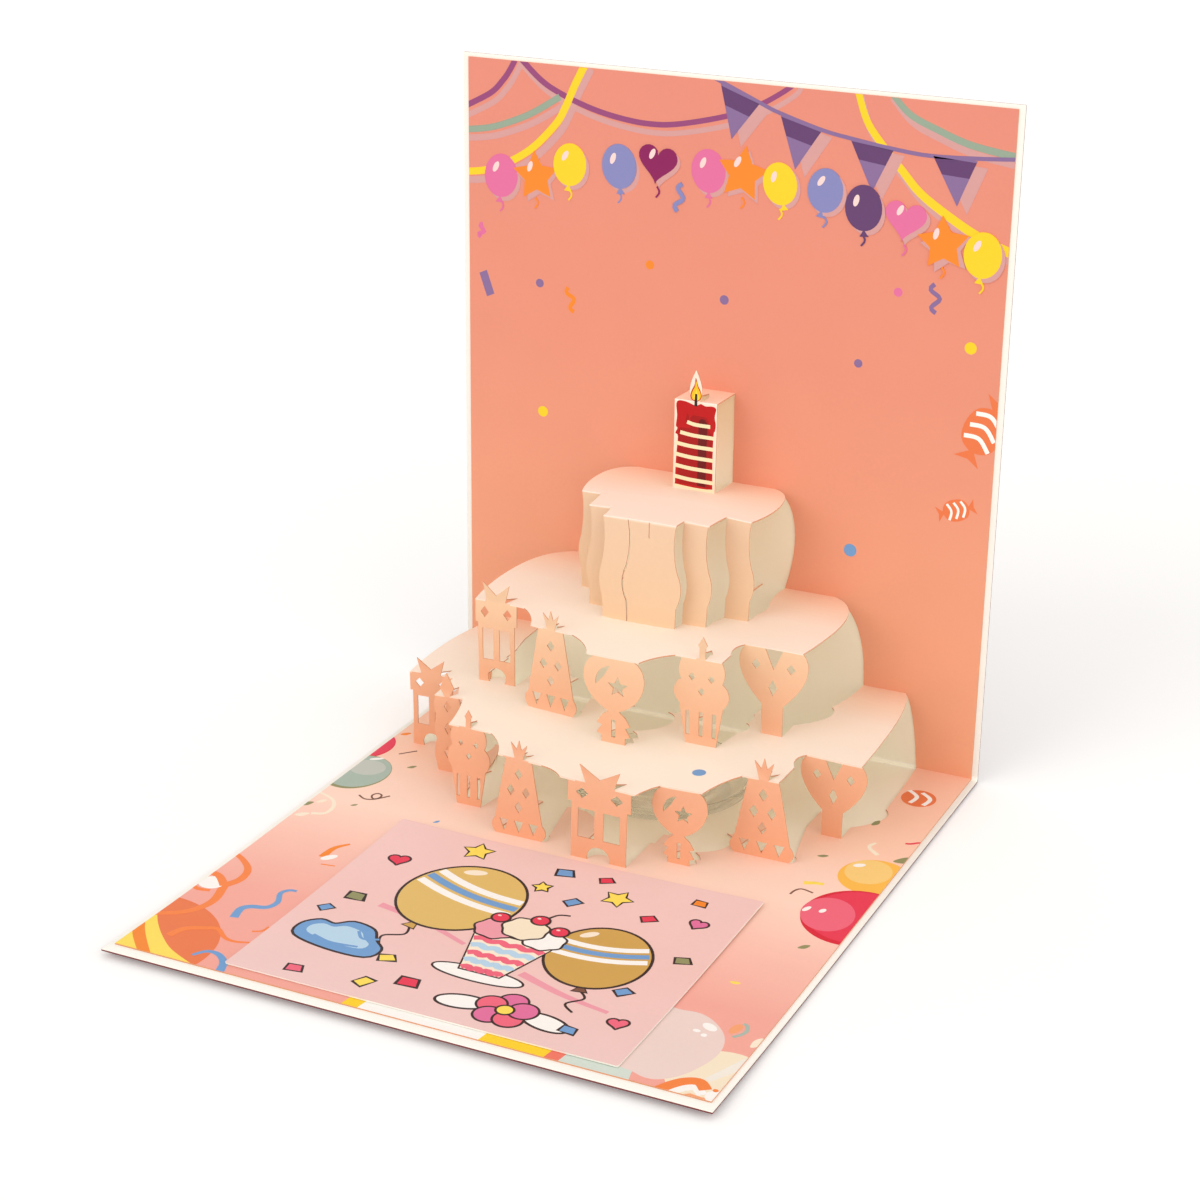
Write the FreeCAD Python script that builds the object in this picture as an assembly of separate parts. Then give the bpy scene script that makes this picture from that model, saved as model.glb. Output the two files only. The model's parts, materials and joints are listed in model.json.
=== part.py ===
import FreeCAD, Part

import math
import os

os.makedirs("parts", exist_ok=True)

# A birthday pop up card, standing open at a right angle, in millimetres.
# The cover lies on the table and rises behind. A thinner sheet is glued inside it,
# and a three tier cake with a candle is cut and folded out of that sheet.
# The origin is the middle of the footprint, on the underside of the cover.
# +X is to the right of someone who reads the card, -Y is towards them, +Z is up.

# The cover, one board folded at the gutter
PANEL_WIDTH = 170.0
PANEL_LENGTH = 200.0
COVER_THICKNESS = 0.7
SPINE_BEVEL = 0.45
SCORE_FROM_GUTTER = 0.9
SCORE_WIDTH = 0.4
SCORE_DEPTH = 0.15

# The printed sheet, glued inside the cover
SHEET_THICKNESS = 0.35
SIDE_MARGIN = 1.8
FRONT_MARGIN = 3.5
TOP_MARGIN = 1.2

# The bottom tier. Each tier is a half round seen from above.
BOTTOM_HEIGHT = 23.3
BOTTOM_CENTRE = -4.5
BOTTOM_HALF_WIDTH = 73.0
BOTTOM_DEPTH = 97.0
BOTTOM_FOLD_HALF = 66.0

# The middle tier, standing on the bottom one
MIDDLE_HEIGHT = 26.3
MIDDLE_CENTRE = -4.0
MIDDLE_HALF_WIDTH = 55.3
MIDDLE_DEPTH = 70.0
MIDDLE_FOLD_HALF = 42.0

# The top tier, hung with icing drips
TOP_HEIGHT = 30.5
TOP_CENTRE = -4.4
TOP_HALF_WIDTH = 31.3
TOP_DEPTH = 44.0
TOP_FOLD_HALF = 22.2

# The candle, standing on the top tier
CANDLE_HEIGHT = 27.4
CANDLE_CENTRE = -2.3
CANDLE_WIDTH = 13.2
CANDLE_DEPTH = 13.8
FLAME_HEIGHT = 9.8
FLAME_HALF_WIDTH = 1.9
FLAME_FOOT_HALF = 1.1

# The icing edge of a tier between two figures, as shares of the gap that it spans
ICING_DIP = 0.13
ICING_SHOULDER = 0.2
SIDE_BULGE = 0.02

# The loose picture card, lying on the front of the base
PICTURE_WIDTH = 110.0
PICTURE_HEIGHT = 92.0
PICTURE_THICKNESS = 0.4
PICTURE_CENTRE_X = 2.7
PICTURE_FRONT_GAP = 3.5
PICTURE_CORNER = 0.5

# The clear disc, lying under the cake
DISC_RADIUS = 27.0
DISC_HEIGHT = 3.2
DISC_WALL = 1.0
DISC_CENTRE_X = 1.0
DISC_FROM_GUTTER = 41.0
DISC_STEP_RADIUS = 18.5
DISC_BOSS_RADIUS = 8.5
DISC_FLOOR = 0.8
DISC_STEP = 0.8
DISC_EDGE_BEVEL = 0.3

# Where the printed faces of the two halves meet, and the least distance that counts as one
GUTTER_Y = PANEL_LENGTH / 2 - COVER_THICKNESS - SHEET_THICKNESS
GUTTER_Z = COVER_THICKNESS + SHEET_THICKNESS
NO_DISTANCE = 1e-6


def vec(x, y, z=0.0):
    """A point or direction."""
    return FreeCAD.Vector(x, y, z)


class Pen:
    """Draws one closed outline on the flat sheet, with v running down from a fold line."""

    def __init__(self, u, v):
        self.start = vec(u, -v)
        self.at = self.start
        self.edges = []

    def line(self, u, v):
        """A straight cut to (u, v)."""
        end = vec(u, -v)
        self.edges.append(Part.LineSegment(self.at, end).toShape())
        self.at = end
        return self

    def arc(self, via, end):
        """A round cut through via to end."""
        points = [self.at, vec(via[0], -via[1]), vec(end[0], -end[1])]
        self.edges.append(Part.Arc(*points).toShape())
        self.at = points[2]
        return self

    def curve(self, *points):
        """A Bezier cut to the last point, pulled by the points before it."""
        poles = [self.at] + [vec(u, -v) for u, v in points]
        bezier = Part.BezierCurve()
        bezier.setPoles(poles)
        self.edges.append(bezier.toShape())
        self.at = poles[-1]
        return self

    def face(self):
        """The paper inside the outline."""
        if self.at.distanceToPoint(self.start) > NO_DISTANCE:
            self.line(self.start.x, -self.start.y)
        return Part.Face(Part.Wire(self.edges))


def cut_out(*corners):
    """A straight sided cut-out with the given corners."""
    pen = Pen(*corners[0])
    for corner in corners[1:]:
        pen.line(*corner)
    return pen.face()


def lozenge(u, v, wide, tall):
    """A pointed cut-out, as wide and tall as given."""
    return cut_out((u, v - tall / 2), (u + wide / 2, v), (u, v + tall / 2), (u - wide / 2, v))


def window(left, right, top, bottom):
    """A four sided cut-out."""
    return cut_out((left, top), (right, top), (right, bottom), (left, bottom))


def star_points(u, v, radius, waist):
    """The ten corners of a star with one arm pointing up, as (u, v) pairs."""
    corners = []
    for step in range(10):
        reach = radius if step % 2 == 0 else radius * waist
        angle = math.pi * step / 5
        corners.append((u + reach * math.sin(angle), v - reach * math.cos(angle)))
    return corners


def mirrored(points):
    """Points on the left, in reverse order, for points drawn on the right."""
    return [(-u, v) for u, v in reversed(points)]


# Each figure below is drawn flat, from the fold line it hangs from at v = 0 down to its
# foot at v = height. What lies above the fold line is cut out of the tier's top and stands up.
# A figure gives its outline and its cut-outs.


def gift_box(width, height):
    """A present with a lid, a bow that stands up, and two feet."""
    half = width / 2
    box = half * 0.88
    lid = height * 0.27
    foot = width * 0.26
    arch = height * 0.82
    bow = width * 0.32
    rise = height * 0.22
    pen = Pen(-half, 0)
    for corner in ((-half, lid), (-box, lid), (-box, height), (foot - box, height)):
        pen.line(*corner)
    pen.arc((0, arch), (box - foot, height))
    for corner in ((box, height), (box, lid), (half, lid), (half, 0), (bow * 0.7, 0),
                   (bow, -rise), (0, -rise * 0.32), (-bow, -rise), (-bow * 0.7, 0)):
        pen.line(*corner)
    ribbon = width * 0.07
    cuts = []
    for side in (-1, 1):
        ends = sorted((side * ribbon, side * box * 0.76))
        cuts.append(window(*ends, lid * 1.25, arch * 0.88))
        cuts.append(lozenge(side * half * 0.55, lid * 0.52, width * 0.20, lid * 0.5))
    return pen.face(), cuts


def party_hat(width, height):
    """A pointed hat with a tuft that stands up and a frilled brim."""
    top = width * 0.25
    half = width / 2
    brim = height * 0.80
    tuft = width * 0.16
    rise = width * 0.30
    pen = Pen(-top, 0)
    pen.line(-half * 0.93, brim)
    pen.arc((-half * 1.06, (brim + height) / 2), (-half * 0.9, height))
    pen.line(half * 0.9, height)
    pen.arc((half * 1.06, (brim + height) / 2), (half * 0.93, brim))
    for corner in ((top, 0), (tuft * 0.5, 0), (tuft, -rise), (tuft * 0.3, -rise * 0.6),
                   (0, -rise * 1.2), (-tuft * 0.3, -rise * 0.6), (-tuft, -rise), (-tuft * 0.5, 0)):
        pen.line(*corner)
    dot = width * 0.15
    cuts = [lozenge(0, height * 0.20, dot, dot * 1.4), lozenge(0, height * 0.62, dot, dot * 1.4)]
    for side in (-1, 1):
        cuts.append(lozenge(side * width * 0.15, height * 0.42, dot, dot * 1.4))
    for place in (-0.29, 0, 0.29):
        middle = place * width
        cuts.append(cut_out((middle - dot * 0.6, brim), (middle + dot * 0.6, brim),
                            (middle, height * 0.95)))
    return pen.face(), cuts


def balloon(width, height):
    """A balloon above a bunch of pointed ribbon ends."""
    half = width / 2
    fold = width * 0.30
    knot = height * 0.62
    stem = width * 0.20
    reach = width * 0.29
    side = [(width * 0.09, knot), (stem, height * 0.68), (reach, height * 0.78),
            (stem, height * 0.80), (reach, height * 0.90), (stem, height * 0.92), (stem, height)]
    pen = Pen(-fold, 0)
    pen.curve((-half * 1.22, height * 0.06), (-half * 1.30, height * 0.46), mirrored(side)[-1])
    for corner in [(-u, v) for u, v in side[1:]] + side[:0:-1]:
        pen.line(*corner)
    pen.line(*side[0])
    pen.curve((half * 1.30, height * 0.46), (half * 1.22, height * 0.06), (fold, 0))
    shine = Pen(-half * 0.62, height * 0.33)
    shine.arc((-half * 0.50, height * 0.17), (-half * 0.14, height * 0.10))
    shine.line(-half * 0.34, height * 0.22)
    star = star_points(half * 0.14, height * 0.33, width * 0.18, 0.45)
    slot = width * 0.035
    cuts = [shine.face(), cut_out(*star), window(-slot, slot, height * 0.72, height * 0.93)]
    return pen.face(), cuts


def heart_post(width, height):
    """A heart on a post, hung by its two lobes."""
    half = width / 2
    cleft = height * 0.25
    post = width * 0.155
    neck = height * 0.66
    pen = Pen(-half * 0.84, 0)
    pen.curve((-half * 1.20, height * 0.14), (-half * 1.02, height * 0.40), (-post, neck))
    pen.line(-post, height)
    pen.line(post, height)
    pen.line(post, neck)
    pen.curve((half * 1.02, height * 0.40), (half * 1.20, height * 0.14), (half * 0.84, 0))
    for corner in ((half * 0.28, 0), (0, cleft), (-half * 0.28, 0)):
        pen.line(*corner)
    dot = width * 0.13
    cuts = [lozenge(0, height * 0.46, dot, dot * 1.9)]
    for side in (-1, 1):
        cuts.append(lozenge(side * half * 0.52, height * 0.21, dot, dot * 1.2))
    return pen.face(), cuts


def small_candle(width, height):
    """A twisted candle with a flame that stands up."""
    half = width * 0.42
    foot = width * 0.36
    bulge = width * 0.07
    twists = 3
    pitch = height * 0.90 / twists
    flame = width * 0.26
    pen = Pen(-half, 0)
    for step in range(twists):
        top = pitch * step
        pen.arc((-half - bulge, top + pitch * 0.5), (-half, top + pitch))
    pen.line(-foot, height)
    pen.line(foot, height)
    pen.line(half, pitch * twists)
    for step in range(twists, 0, -1):
        top = pitch * step
        pen.arc((half + bulge, top - pitch * 0.5), (half, top - pitch))
    for corner in ((flame * 0.4, 0), (flame, -width * 0.30), (0, -width * 0.85),
                   (-flame, -width * 0.30), (-flame * 0.4, 0)):
        pen.line(*corner)
    cuts = []
    for step in range(twists):
        cuts.append(lozenge(0, pitch * (step + 0.5), width * 0.26, width * 0.42))
    return pen.face(), cuts


def cupcake(width, height):
    """A cupcake with a little candle that stands up."""
    half = width / 2
    fold = half * 0.74
    middle = height * 0.26
    cup_top = height * 0.54
    foot = half * 0.60
    wick = width * 0.06
    rise = width * 0.36
    pen = Pen(-fold, 0)
    pen.arc((-half * 0.90, middle * 0.5), (-half * 0.80, middle))
    pen.arc((-half * 1.08, (middle + cup_top) / 2), (-half * 0.86, cup_top))
    pen.line(-foot, height)
    pen.line(foot, height)
    pen.line(half * 0.86, cup_top)
    pen.arc((half * 1.08, (middle + cup_top) / 2), (half * 0.80, middle))
    pen.arc((half * 0.90, middle * 0.5), (fold, 0))
    for corner in ((wick, 0), (wick, -rise * 0.6), (wick * 1.5, -rise * 0.75), (0, -rise * 1.2),
                   (-wick * 1.5, -rise * 0.75), (-wick, -rise * 0.6), (-wick, 0)):
        pen.line(*corner)
    slot = width * 0.04
    cuts = []
    for place in (-0.26, 0.0, 0.26):
        middle_of = place * width
        cuts.append(window(middle_of - slot, middle_of + slot, height * 0.62, height * 0.90))
    dot = width * 0.13
    for u, v in ((-half * 0.38, 0.22), (half * 0.38, 0.22), (0, 0.38)):
        cuts.append(lozenge(u, height * v, dot, dot * 1.2))
    return pen.face(), cuts


# How a drip's side sways on its way down: the part of the height, and the share of the sway
DRIP_WAVE = [(0.0, 0.0), (0.32, -0.30), (0.60, 1.0), (0.80, 0.15), (1.0, 0.0)]


def drip_side(pen, at, height, sway, down):
    """One wavy side of an icing drip, cut downwards or upwards, as round cuts and straight ones."""
    wave = [(at + sway * out, height * part) for part, out in DRIP_WAVE]
    if down:
        pen.arc(wave[1], (wave[1][0] + sway * 0.55, height * 0.46))
        pen.arc(wave[2], wave[3])
        pen.line(*wave[4])
    else:
        pen.line(*wave[3])
        pen.arc(wave[2], (wave[1][0] + sway * 0.55, height * 0.46))
        pen.arc(wave[1], wave[0])


def drip(width, height, sway=0.19):
    """A hanging drip of icing whose two sides sway together, by a share of its width."""
    half = width / 2
    pen = Pen(-half, 0)
    drip_side(pen, -half, height, width * sway * 0.8, True)
    pen.line(half, height)
    drip_side(pen, half, height, width * sway, False)
    return pen.face(), []


def left_drip(width, height):
    """A drip that sways the other way."""
    return drip(width, height, sway=-0.22)


def slit(at, height, gap, sway):
    """A narrow wavy cut down the whole of the paper."""
    pen = Pen(at, 0)
    drip_side(pen, at, height, sway, True)
    pen.line(at + gap, height)
    drip_side(pen, at + gap, height, sway, False)
    return pen.face()


def drip_curtain(width, height):
    """The wide drip at the front, parted by one long slit and one short slit."""
    half = width / 2
    gap = width * 0.02
    short = width * 0.13
    pen = Pen(-half, 0)
    drip_side(pen, -half, height, -width * 0.05, True)
    pen.line(half, height)
    drip_side(pen, half, height, width * 0.07, False)
    cuts = [slit(-width * 0.165, height, gap, -width * 0.07)]
    cuts.append(window(short, short + gap * 0.7, height * 0.01, height * 0.16))
    return pen.face(), cuts


def candle_front(width, height):
    """The front of the tall candle, with its flame standing up."""
    half = width / 2
    waist = FLAME_HALF_WIDTH * 1.25
    pen = Pen(-half, 0)
    pen.line(-half, height)
    pen.line(half, height)
    pen.line(half, 0)
    pen.line(FLAME_FOOT_HALF, 0)
    pen.curve((waist, -FLAME_HEIGHT * 0.22), (waist, -FLAME_HEIGHT * 0.5),
              (FLAME_HALF_WIDTH * 0.45, -FLAME_HEIGHT * 0.8), (0, -FLAME_HEIGHT))
    pen.curve((-FLAME_HALF_WIDTH * 0.45, -FLAME_HEIGHT * 0.8), (-waist, -FLAME_HEIGHT * 0.5),
              (-waist, -FLAME_HEIGHT * 0.22), (-FLAME_FOOT_HALF, 0))
    return pen.face(), []


class Tier:
    """One step of the cake: a level top hung from the back half, and figures that hold its front.

    A figure is given as its drawing, where its fold line lies and how wide it is. Its place
    across and its width are shares of the tier's half width, and its place outwards from the
    gutter is a share of the tier's depth.
    Drawn flat, the top runs down from its back fold at v = 0, as it does before it is folded.
    """

    def __init__(self, floor, height, centre, half_width, depth, fold_half, figures):
        self.floor = floor
        self.height = height
        self.level = floor + height
        self.centre = centre
        self.half_width = half_width
        self.depth = depth
        self.fold_half = fold_half
        self.figures = []
        for draw, across, out, width in figures:
            outline, cuts = draw(width * half_width, height)
            self.figures.append((centre + half_width * across, depth * out, outline, cuts))

    def hung_at(self, figure):
        """The two ends of a figure's fold line, as (left, right, depth)."""
        across, depth, outline, _ = figure
        ends = [point.Point.x for point in outline.Vertexes if abs(point.Point.y) < NO_DISTANCE]
        return across + min(ends), across + max(ends), depth

    def top_outline(self):
        """The level top, with swags of icing between the figures."""
        left, right = self.centre - self.fold_half, self.centre + self.fold_half
        folds = [self.hung_at(figure) for figure in self.figures]
        first, last = folds[0], folds[-1]
        bulge = self.half_width * SIDE_BULGE
        side_left = min(self.centre - self.half_width, first[0])
        side_right = max(self.centre + self.half_width, last[1])
        pen = Pen(left, 0)
        pen.curve((side_left + bulge, first[2] * 0.10), (side_left - bulge, first[2] * 0.55),
                  (first[0], first[2]))
        for here, after in zip(folds, folds[1:]):
            pen.line(here[1], here[2])
            self.swag(pen, here, after)
        pen.line(last[1], last[2])
        pen.curve((side_right - bulge, last[2] * 0.55), (side_right - 2 * bulge, last[2] * 0.10),
                  (right, 0))
        return pen.face()

    def swag(self, pen, here, after):
        """The curved edge from the end of one fold line to the start of the next."""
        gap = after[0] - here[1]
        shoulder = gap * ICING_SHOULDER
        start, end = (here[1] + shoulder, here[2]), (after[0] - shoulder, after[2])
        dip = math.dist(start, end) * ICING_DIP
        pen.line(*start)
        pen.arc(((start[0] + end[0]) / 2, (start[1] + end[1]) / 2 - dip), end)
        pen.line(after[0], after[2])

    def flat_pieces(self):
        """Everything that the cake takes out of the sheet for this tier, laid flat."""
        pieces = [self.top_outline()]
        for across, depth, outline, _ in self.figures:
            pieces.append(outline.translated(vec(across, -depth)))
        return pieces

    def opening_in_back(self):
        """The hole that the tier leaves in the back half."""
        return [stood_up(piece, 0.0, self.level) for piece in self.flat_pieces()]

    def opening_below(self):
        """The hole that the tier leaves in the tier or base half that it stands on."""
        lift = vec(0, self.height)
        return [laid_level(piece.translated(lift), self.floor) for piece in self.flat_pieces()]

    def top(self):
        """The level top, joined to the back half by a strip behind its fold line."""
        heel = Part.makeBox(2 * self.fold_half, SHEET_THICKNESS, SHEET_THICKNESS)
        heel.translate(vec(self.centre - self.fold_half, GUTTER_Y,
                           GUTTER_Z + self.level - SHEET_THICKNESS))
        raised = []
        for across, depth, outline, _ in self.figures:
            raised.append(laid_level(outline.translated(vec(across, -depth)), self.level))
        plate = laid_level(self.top_outline(), self.level).cut(raised)
        return plate.fuse(heel)

    def fronts(self):
        """The figures, each stood up at its own depth, with the toes that join it below."""
        solids = []
        for across, depth, outline, cuts in self.figures:
            paper = outline.cut(cuts) if cuts else outline
            paper = paper.translated(vec(across, 0))
            solids.append(stood_up(paper, -depth, self.level))
            for edge in paper.Edges:
                ends = [vertex.Point for vertex in edge.Vertexes]
                if all(abs(end.y + self.height) < NO_DISTANCE for end in ends):
                    left = min(end.x for end in ends)
                    toe = Part.makeBox(edge.Length, SHEET_THICKNESS, SHEET_THICKNESS)
                    toe.translate(vec(left, GUTTER_Y - depth,
                                      GUTTER_Z + self.floor - SHEET_THICKNESS))
                    solids.append(toe)
        return solids


def laid_level(face, level):
    """Paper drawn flat, laid level with its printed side up at a height over the base."""
    low = face.translated(vec(0, GUTTER_Y, GUTTER_Z + level - SHEET_THICKNESS))
    return low.extrude(vec(0, 0, SHEET_THICKNESS))


def stood_up(face, forward, level):
    """Paper drawn flat, stood up with its printed side forward and its fold line at a height."""
    upright = face.copy()
    upright.rotate(vec(0, 0), vec(1, 0), 90)
    upright.translate(vec(0, GUTTER_Y + forward, GUTTER_Z + level))
    return upright.extrude(vec(0, SHEET_THICKNESS, 0))


def without_waste(paper):
    """Paper after its cuts, without the scraps that fall out of the holes."""
    return max(paper.Solids, key=lambda piece: piece.Volume)


def cake_tiers():
    """The three tiers and the candle, from the bottom up."""
    bottom = Tier(0.0, BOTTOM_HEIGHT, BOTTOM_CENTRE, BOTTOM_HALF_WIDTH, BOTTOM_DEPTH,
                  BOTTOM_FOLD_HALF,
                  [(gift_box, -0.890, 0.536, 0.195), (small_candle, -0.719, 0.670, 0.120),
                   (cupcake, -0.500, 0.845, 0.173), (party_hat, -0.199, 0.963, 0.216),
                   (gift_box, 0.162, 1.0, 0.260), (balloon, 0.441, 0.912, 0.216),
                   (party_hat, 0.699, 0.768, 0.244), (heart_post, 0.875, 0.556, 0.266)])
    middle = Tier(bottom.level, MIDDLE_HEIGHT, MIDDLE_CENTRE, MIDDLE_HALF_WIDTH, MIDDLE_DEPTH,
                  MIDDLE_FOLD_HALF,
                  [(gift_box, -0.805, 0.714, 0.242), (party_hat, -0.389, 0.864, 0.282),
                   (balloon, 0.054, 1.0, 0.322), (cupcake, 0.467, 0.874, 0.280),
                   (heart_post, 0.750, 0.664, 0.371)])
    top = Tier(middle.level, TOP_HEIGHT, TOP_CENTRE, TOP_HALF_WIDTH, TOP_DEPTH, TOP_FOLD_HALF,
               [(left_drip, -0.792, 0.610, 0.192), (left_drip, -0.530, 0.848, 0.217),
                (drip_curtain, -0.040, 1.0, 0.722), (drip, 0.448, 0.894, 0.233),
                (drip, 0.738, 0.674, 0.236)])
    candle = Tier(top.level, CANDLE_HEIGHT, CANDLE_CENTRE, CANDLE_WIDTH / 2, CANDLE_DEPTH,
                  CANDLE_WIDTH / 2, [(candle_front, 0.0, 1.0, 2.0)])
    return [bottom, middle, top, candle]


def cover():
    """The folded board, with a bevelled spine and two scored lines beside the gutter."""
    rear = PANEL_LENGTH / 2
    inner = rear - COVER_THICKNESS
    pen = Pen(-rear, 0)
    pen.line(-rear, -COVER_THICKNESS)
    pen.line(inner - SCORE_FROM_GUTTER - SCORE_WIDTH, -COVER_THICKNESS)
    pen.line(inner - SCORE_FROM_GUTTER - SCORE_WIDTH / 2, SCORE_DEPTH - COVER_THICKNESS)
    pen.line(inner - SCORE_FROM_GUTTER, -COVER_THICKNESS)
    pen.line(inner, -COVER_THICKNESS)
    rise = COVER_THICKNESS + SCORE_FROM_GUTTER
    pen.line(inner, -rise)
    pen.line(inner + SCORE_DEPTH, -rise - SCORE_WIDTH / 2)
    pen.line(inner, -rise - SCORE_WIDTH)
    pen.line(inner, -PANEL_LENGTH)
    pen.line(rear, -PANEL_LENGTH)
    pen.line(rear, -SPINE_BEVEL)
    pen.line(rear - SPINE_BEVEL, 0)
    section = pen.face()
    section.rotate(vec(0, 0), vec(1, 0), 90)
    section.rotate(vec(0, 0), vec(0, 0, 1), 90)
    section.translate(vec(-PANEL_WIDTH / 2, 0))
    return section.extrude(vec(PANEL_WIDTH, 0, 0))


def popup_sheet():
    """The printed sheet: two halves with the whole cake folded out of them, all one paper."""
    half = PANEL_WIDTH / 2 - SIDE_MARGIN
    reach = GUTTER_Y + PANEL_LENGTH / 2 - FRONT_MARGIN
    tall = PANEL_LENGTH - TOP_MARGIN - GUTTER_Z
    base_paper = Pen(-half, -SHEET_THICKNESS).line(-half, reach).line(half, reach)
    base_paper.line(half, -SHEET_THICKNESS)
    back_paper = Pen(-half, 0).line(-half, -tall).line(half, -tall).line(half, 0)
    tiers = cake_tiers()
    openings = [hole for tier in tiers for hole in tier.opening_in_back()]
    solids = [without_waste(stood_up(back_paper.face(), 0.0, 0.0).cut(openings))]
    ground = laid_level(base_paper.face(), 0.0)
    for tier in tiers:
        solids.append(without_waste(ground.cut(tier.opening_below())))
        solids.extend(tier.fronts())
        ground = tier.top()
    solids.append(ground)
    return solids[0].fuse(solids[1:]).removeSplitter()


def picture_card():
    """The loose card, with its corners trimmed, lying on the base in front of the cake."""
    front = FRONT_MARGIN + PICTURE_FRONT_GAP - PANEL_LENGTH / 2
    card = Part.makeBox(PICTURE_WIDTH, PICTURE_HEIGHT, PICTURE_THICKNESS)
    card.translate(vec(PICTURE_CENTRE_X - PICTURE_WIDTH / 2, front, GUTTER_Z))
    corners = [edge for edge in card.Edges if abs(edge.Length - PICTURE_THICKNESS) < NO_DISTANCE]
    return card.makeChamfer(PICTURE_CORNER, corners)


def clear_disc():
    """The clear moulding: a flat floor, a raised ring, a low boss and a bevelled rim."""
    inside = DISC_RADIUS - DISC_WALL
    ring = DISC_STEP_RADIUS
    boss = DISC_BOSS_RADIUS
    raised = DISC_FLOOR + DISC_STEP
    edge = DISC_EDGE_BEVEL
    pen = Pen(0, 0)
    for radius, height in ((DISC_RADIUS - edge, 0), (DISC_RADIUS, edge),
                           (DISC_RADIUS, DISC_HEIGHT), (inside, DISC_HEIGHT),
                           (inside, DISC_FLOOR), (ring + DISC_STEP, DISC_FLOOR), (ring, raised),
                           (ring - DISC_STEP, DISC_FLOOR), (boss + DISC_STEP, DISC_FLOOR),
                           (boss, raised), (0, raised)):
        pen.line(radius, -height)
    section = pen.face()
    section.rotate(vec(0, 0), vec(1, 0), 90)
    disc = section.revolve(vec(0, 0), vec(0, 0, 1), 360)
    disc.translate(vec(DISC_CENTRE_X, GUTTER_Y - DISC_FROM_GUTTER, COVER_THICKNESS))
    return disc


for name, make in (("cover", cover), ("popup_sheet", popup_sheet),
                   ("picture_card", picture_card), ("clear_disc", clear_disc)):
    shape = make()
    shape.exportStep("parts/%s.step" % name)
    box = shape.BoundBox
    print("%s: %d solid(s), valid %s, volume %.1f, x %.2f..%.2f, y %.2f..%.2f, z %.2f..%.2f" % (
        name, len(shape.Solids), shape.isValid(), shape.Volume,
        box.XMin, box.XMax, box.YMin, box.YMax, box.ZMin, box.ZMax))
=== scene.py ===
"""Dresses a birthday pop up card: printed paper, cut edges, a folded board and clear plastic.

The card stands open at a right angle. Every length is in metres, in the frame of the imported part:
X to the reader's right, Y from the front edge to the back panel, Z up. Artwork is laid out in
millimetres on the paper that carries it, and then put in its place.
"""

import logging
import math
from collections.abc import Callable
from dataclasses import dataclass, field
from enum import Enum

import bmesh
import bpy
from mathutils import Matrix, Vector, noise
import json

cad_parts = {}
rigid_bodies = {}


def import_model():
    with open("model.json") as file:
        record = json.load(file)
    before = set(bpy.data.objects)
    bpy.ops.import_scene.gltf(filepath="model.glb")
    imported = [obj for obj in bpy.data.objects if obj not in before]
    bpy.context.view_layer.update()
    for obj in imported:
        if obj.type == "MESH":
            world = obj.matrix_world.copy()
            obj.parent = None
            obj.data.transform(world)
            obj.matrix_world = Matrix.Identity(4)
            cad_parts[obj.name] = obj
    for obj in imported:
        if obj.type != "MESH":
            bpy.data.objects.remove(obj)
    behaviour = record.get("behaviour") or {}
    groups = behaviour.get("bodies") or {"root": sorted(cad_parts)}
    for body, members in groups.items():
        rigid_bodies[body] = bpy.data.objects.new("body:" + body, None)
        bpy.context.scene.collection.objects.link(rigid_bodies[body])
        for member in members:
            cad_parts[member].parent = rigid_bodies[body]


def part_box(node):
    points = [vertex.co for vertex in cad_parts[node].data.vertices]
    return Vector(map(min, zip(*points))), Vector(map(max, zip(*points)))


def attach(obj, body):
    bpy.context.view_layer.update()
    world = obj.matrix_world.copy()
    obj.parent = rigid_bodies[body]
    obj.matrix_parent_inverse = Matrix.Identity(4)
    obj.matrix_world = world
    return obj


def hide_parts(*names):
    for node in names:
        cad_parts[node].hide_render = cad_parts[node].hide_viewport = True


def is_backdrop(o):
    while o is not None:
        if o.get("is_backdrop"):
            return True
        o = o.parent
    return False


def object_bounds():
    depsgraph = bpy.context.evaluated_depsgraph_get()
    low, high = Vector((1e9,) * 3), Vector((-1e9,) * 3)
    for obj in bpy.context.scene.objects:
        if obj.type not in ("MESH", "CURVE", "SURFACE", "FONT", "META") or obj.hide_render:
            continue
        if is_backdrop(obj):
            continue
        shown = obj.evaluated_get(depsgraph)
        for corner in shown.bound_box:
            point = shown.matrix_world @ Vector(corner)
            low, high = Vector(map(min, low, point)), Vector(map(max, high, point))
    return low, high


log = logging.getLogger("pop_up_card")

MM = 0.001
BODY = "root"
INK_ATTRIBUTE = "Ink"
WIDTH_ATTRIBUTE = "width"
LEVEL_ATTRIBUTE = "level"
SIZE_ATTRIBUTE = "size"
TURN_ATTRIBUTE = "turn"
FIRST_LEVEL = 0.012  # how far the lowest print lies over the paper, in millimetres
LEVEL_STEP = 0.008  # how far a shape lies over the ones that it covers
SINK = 0.34  # how thick the bands and bits are, most of it inside the paper

Point = tuple[float, float]
Outline = list[Point]
Colour = tuple[float, float, float, float]


def srgb(red: int, green: int, blue: int) -> Colour:
    """A colour named as on a printer's swatch.

    Args:
        red, green, blue: the swatch's values from 0 to 255.

    Returns:
        The linear colour that Blender's sockets take.
    """
    linear = []
    for value in (red, green, blue):
        share = value / 255
        linear.append(share / 12.92 if share <= 0.04045 else ((share + 0.055) / 1.055) ** 2.4)
    return (*linear, 1.0)


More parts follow.
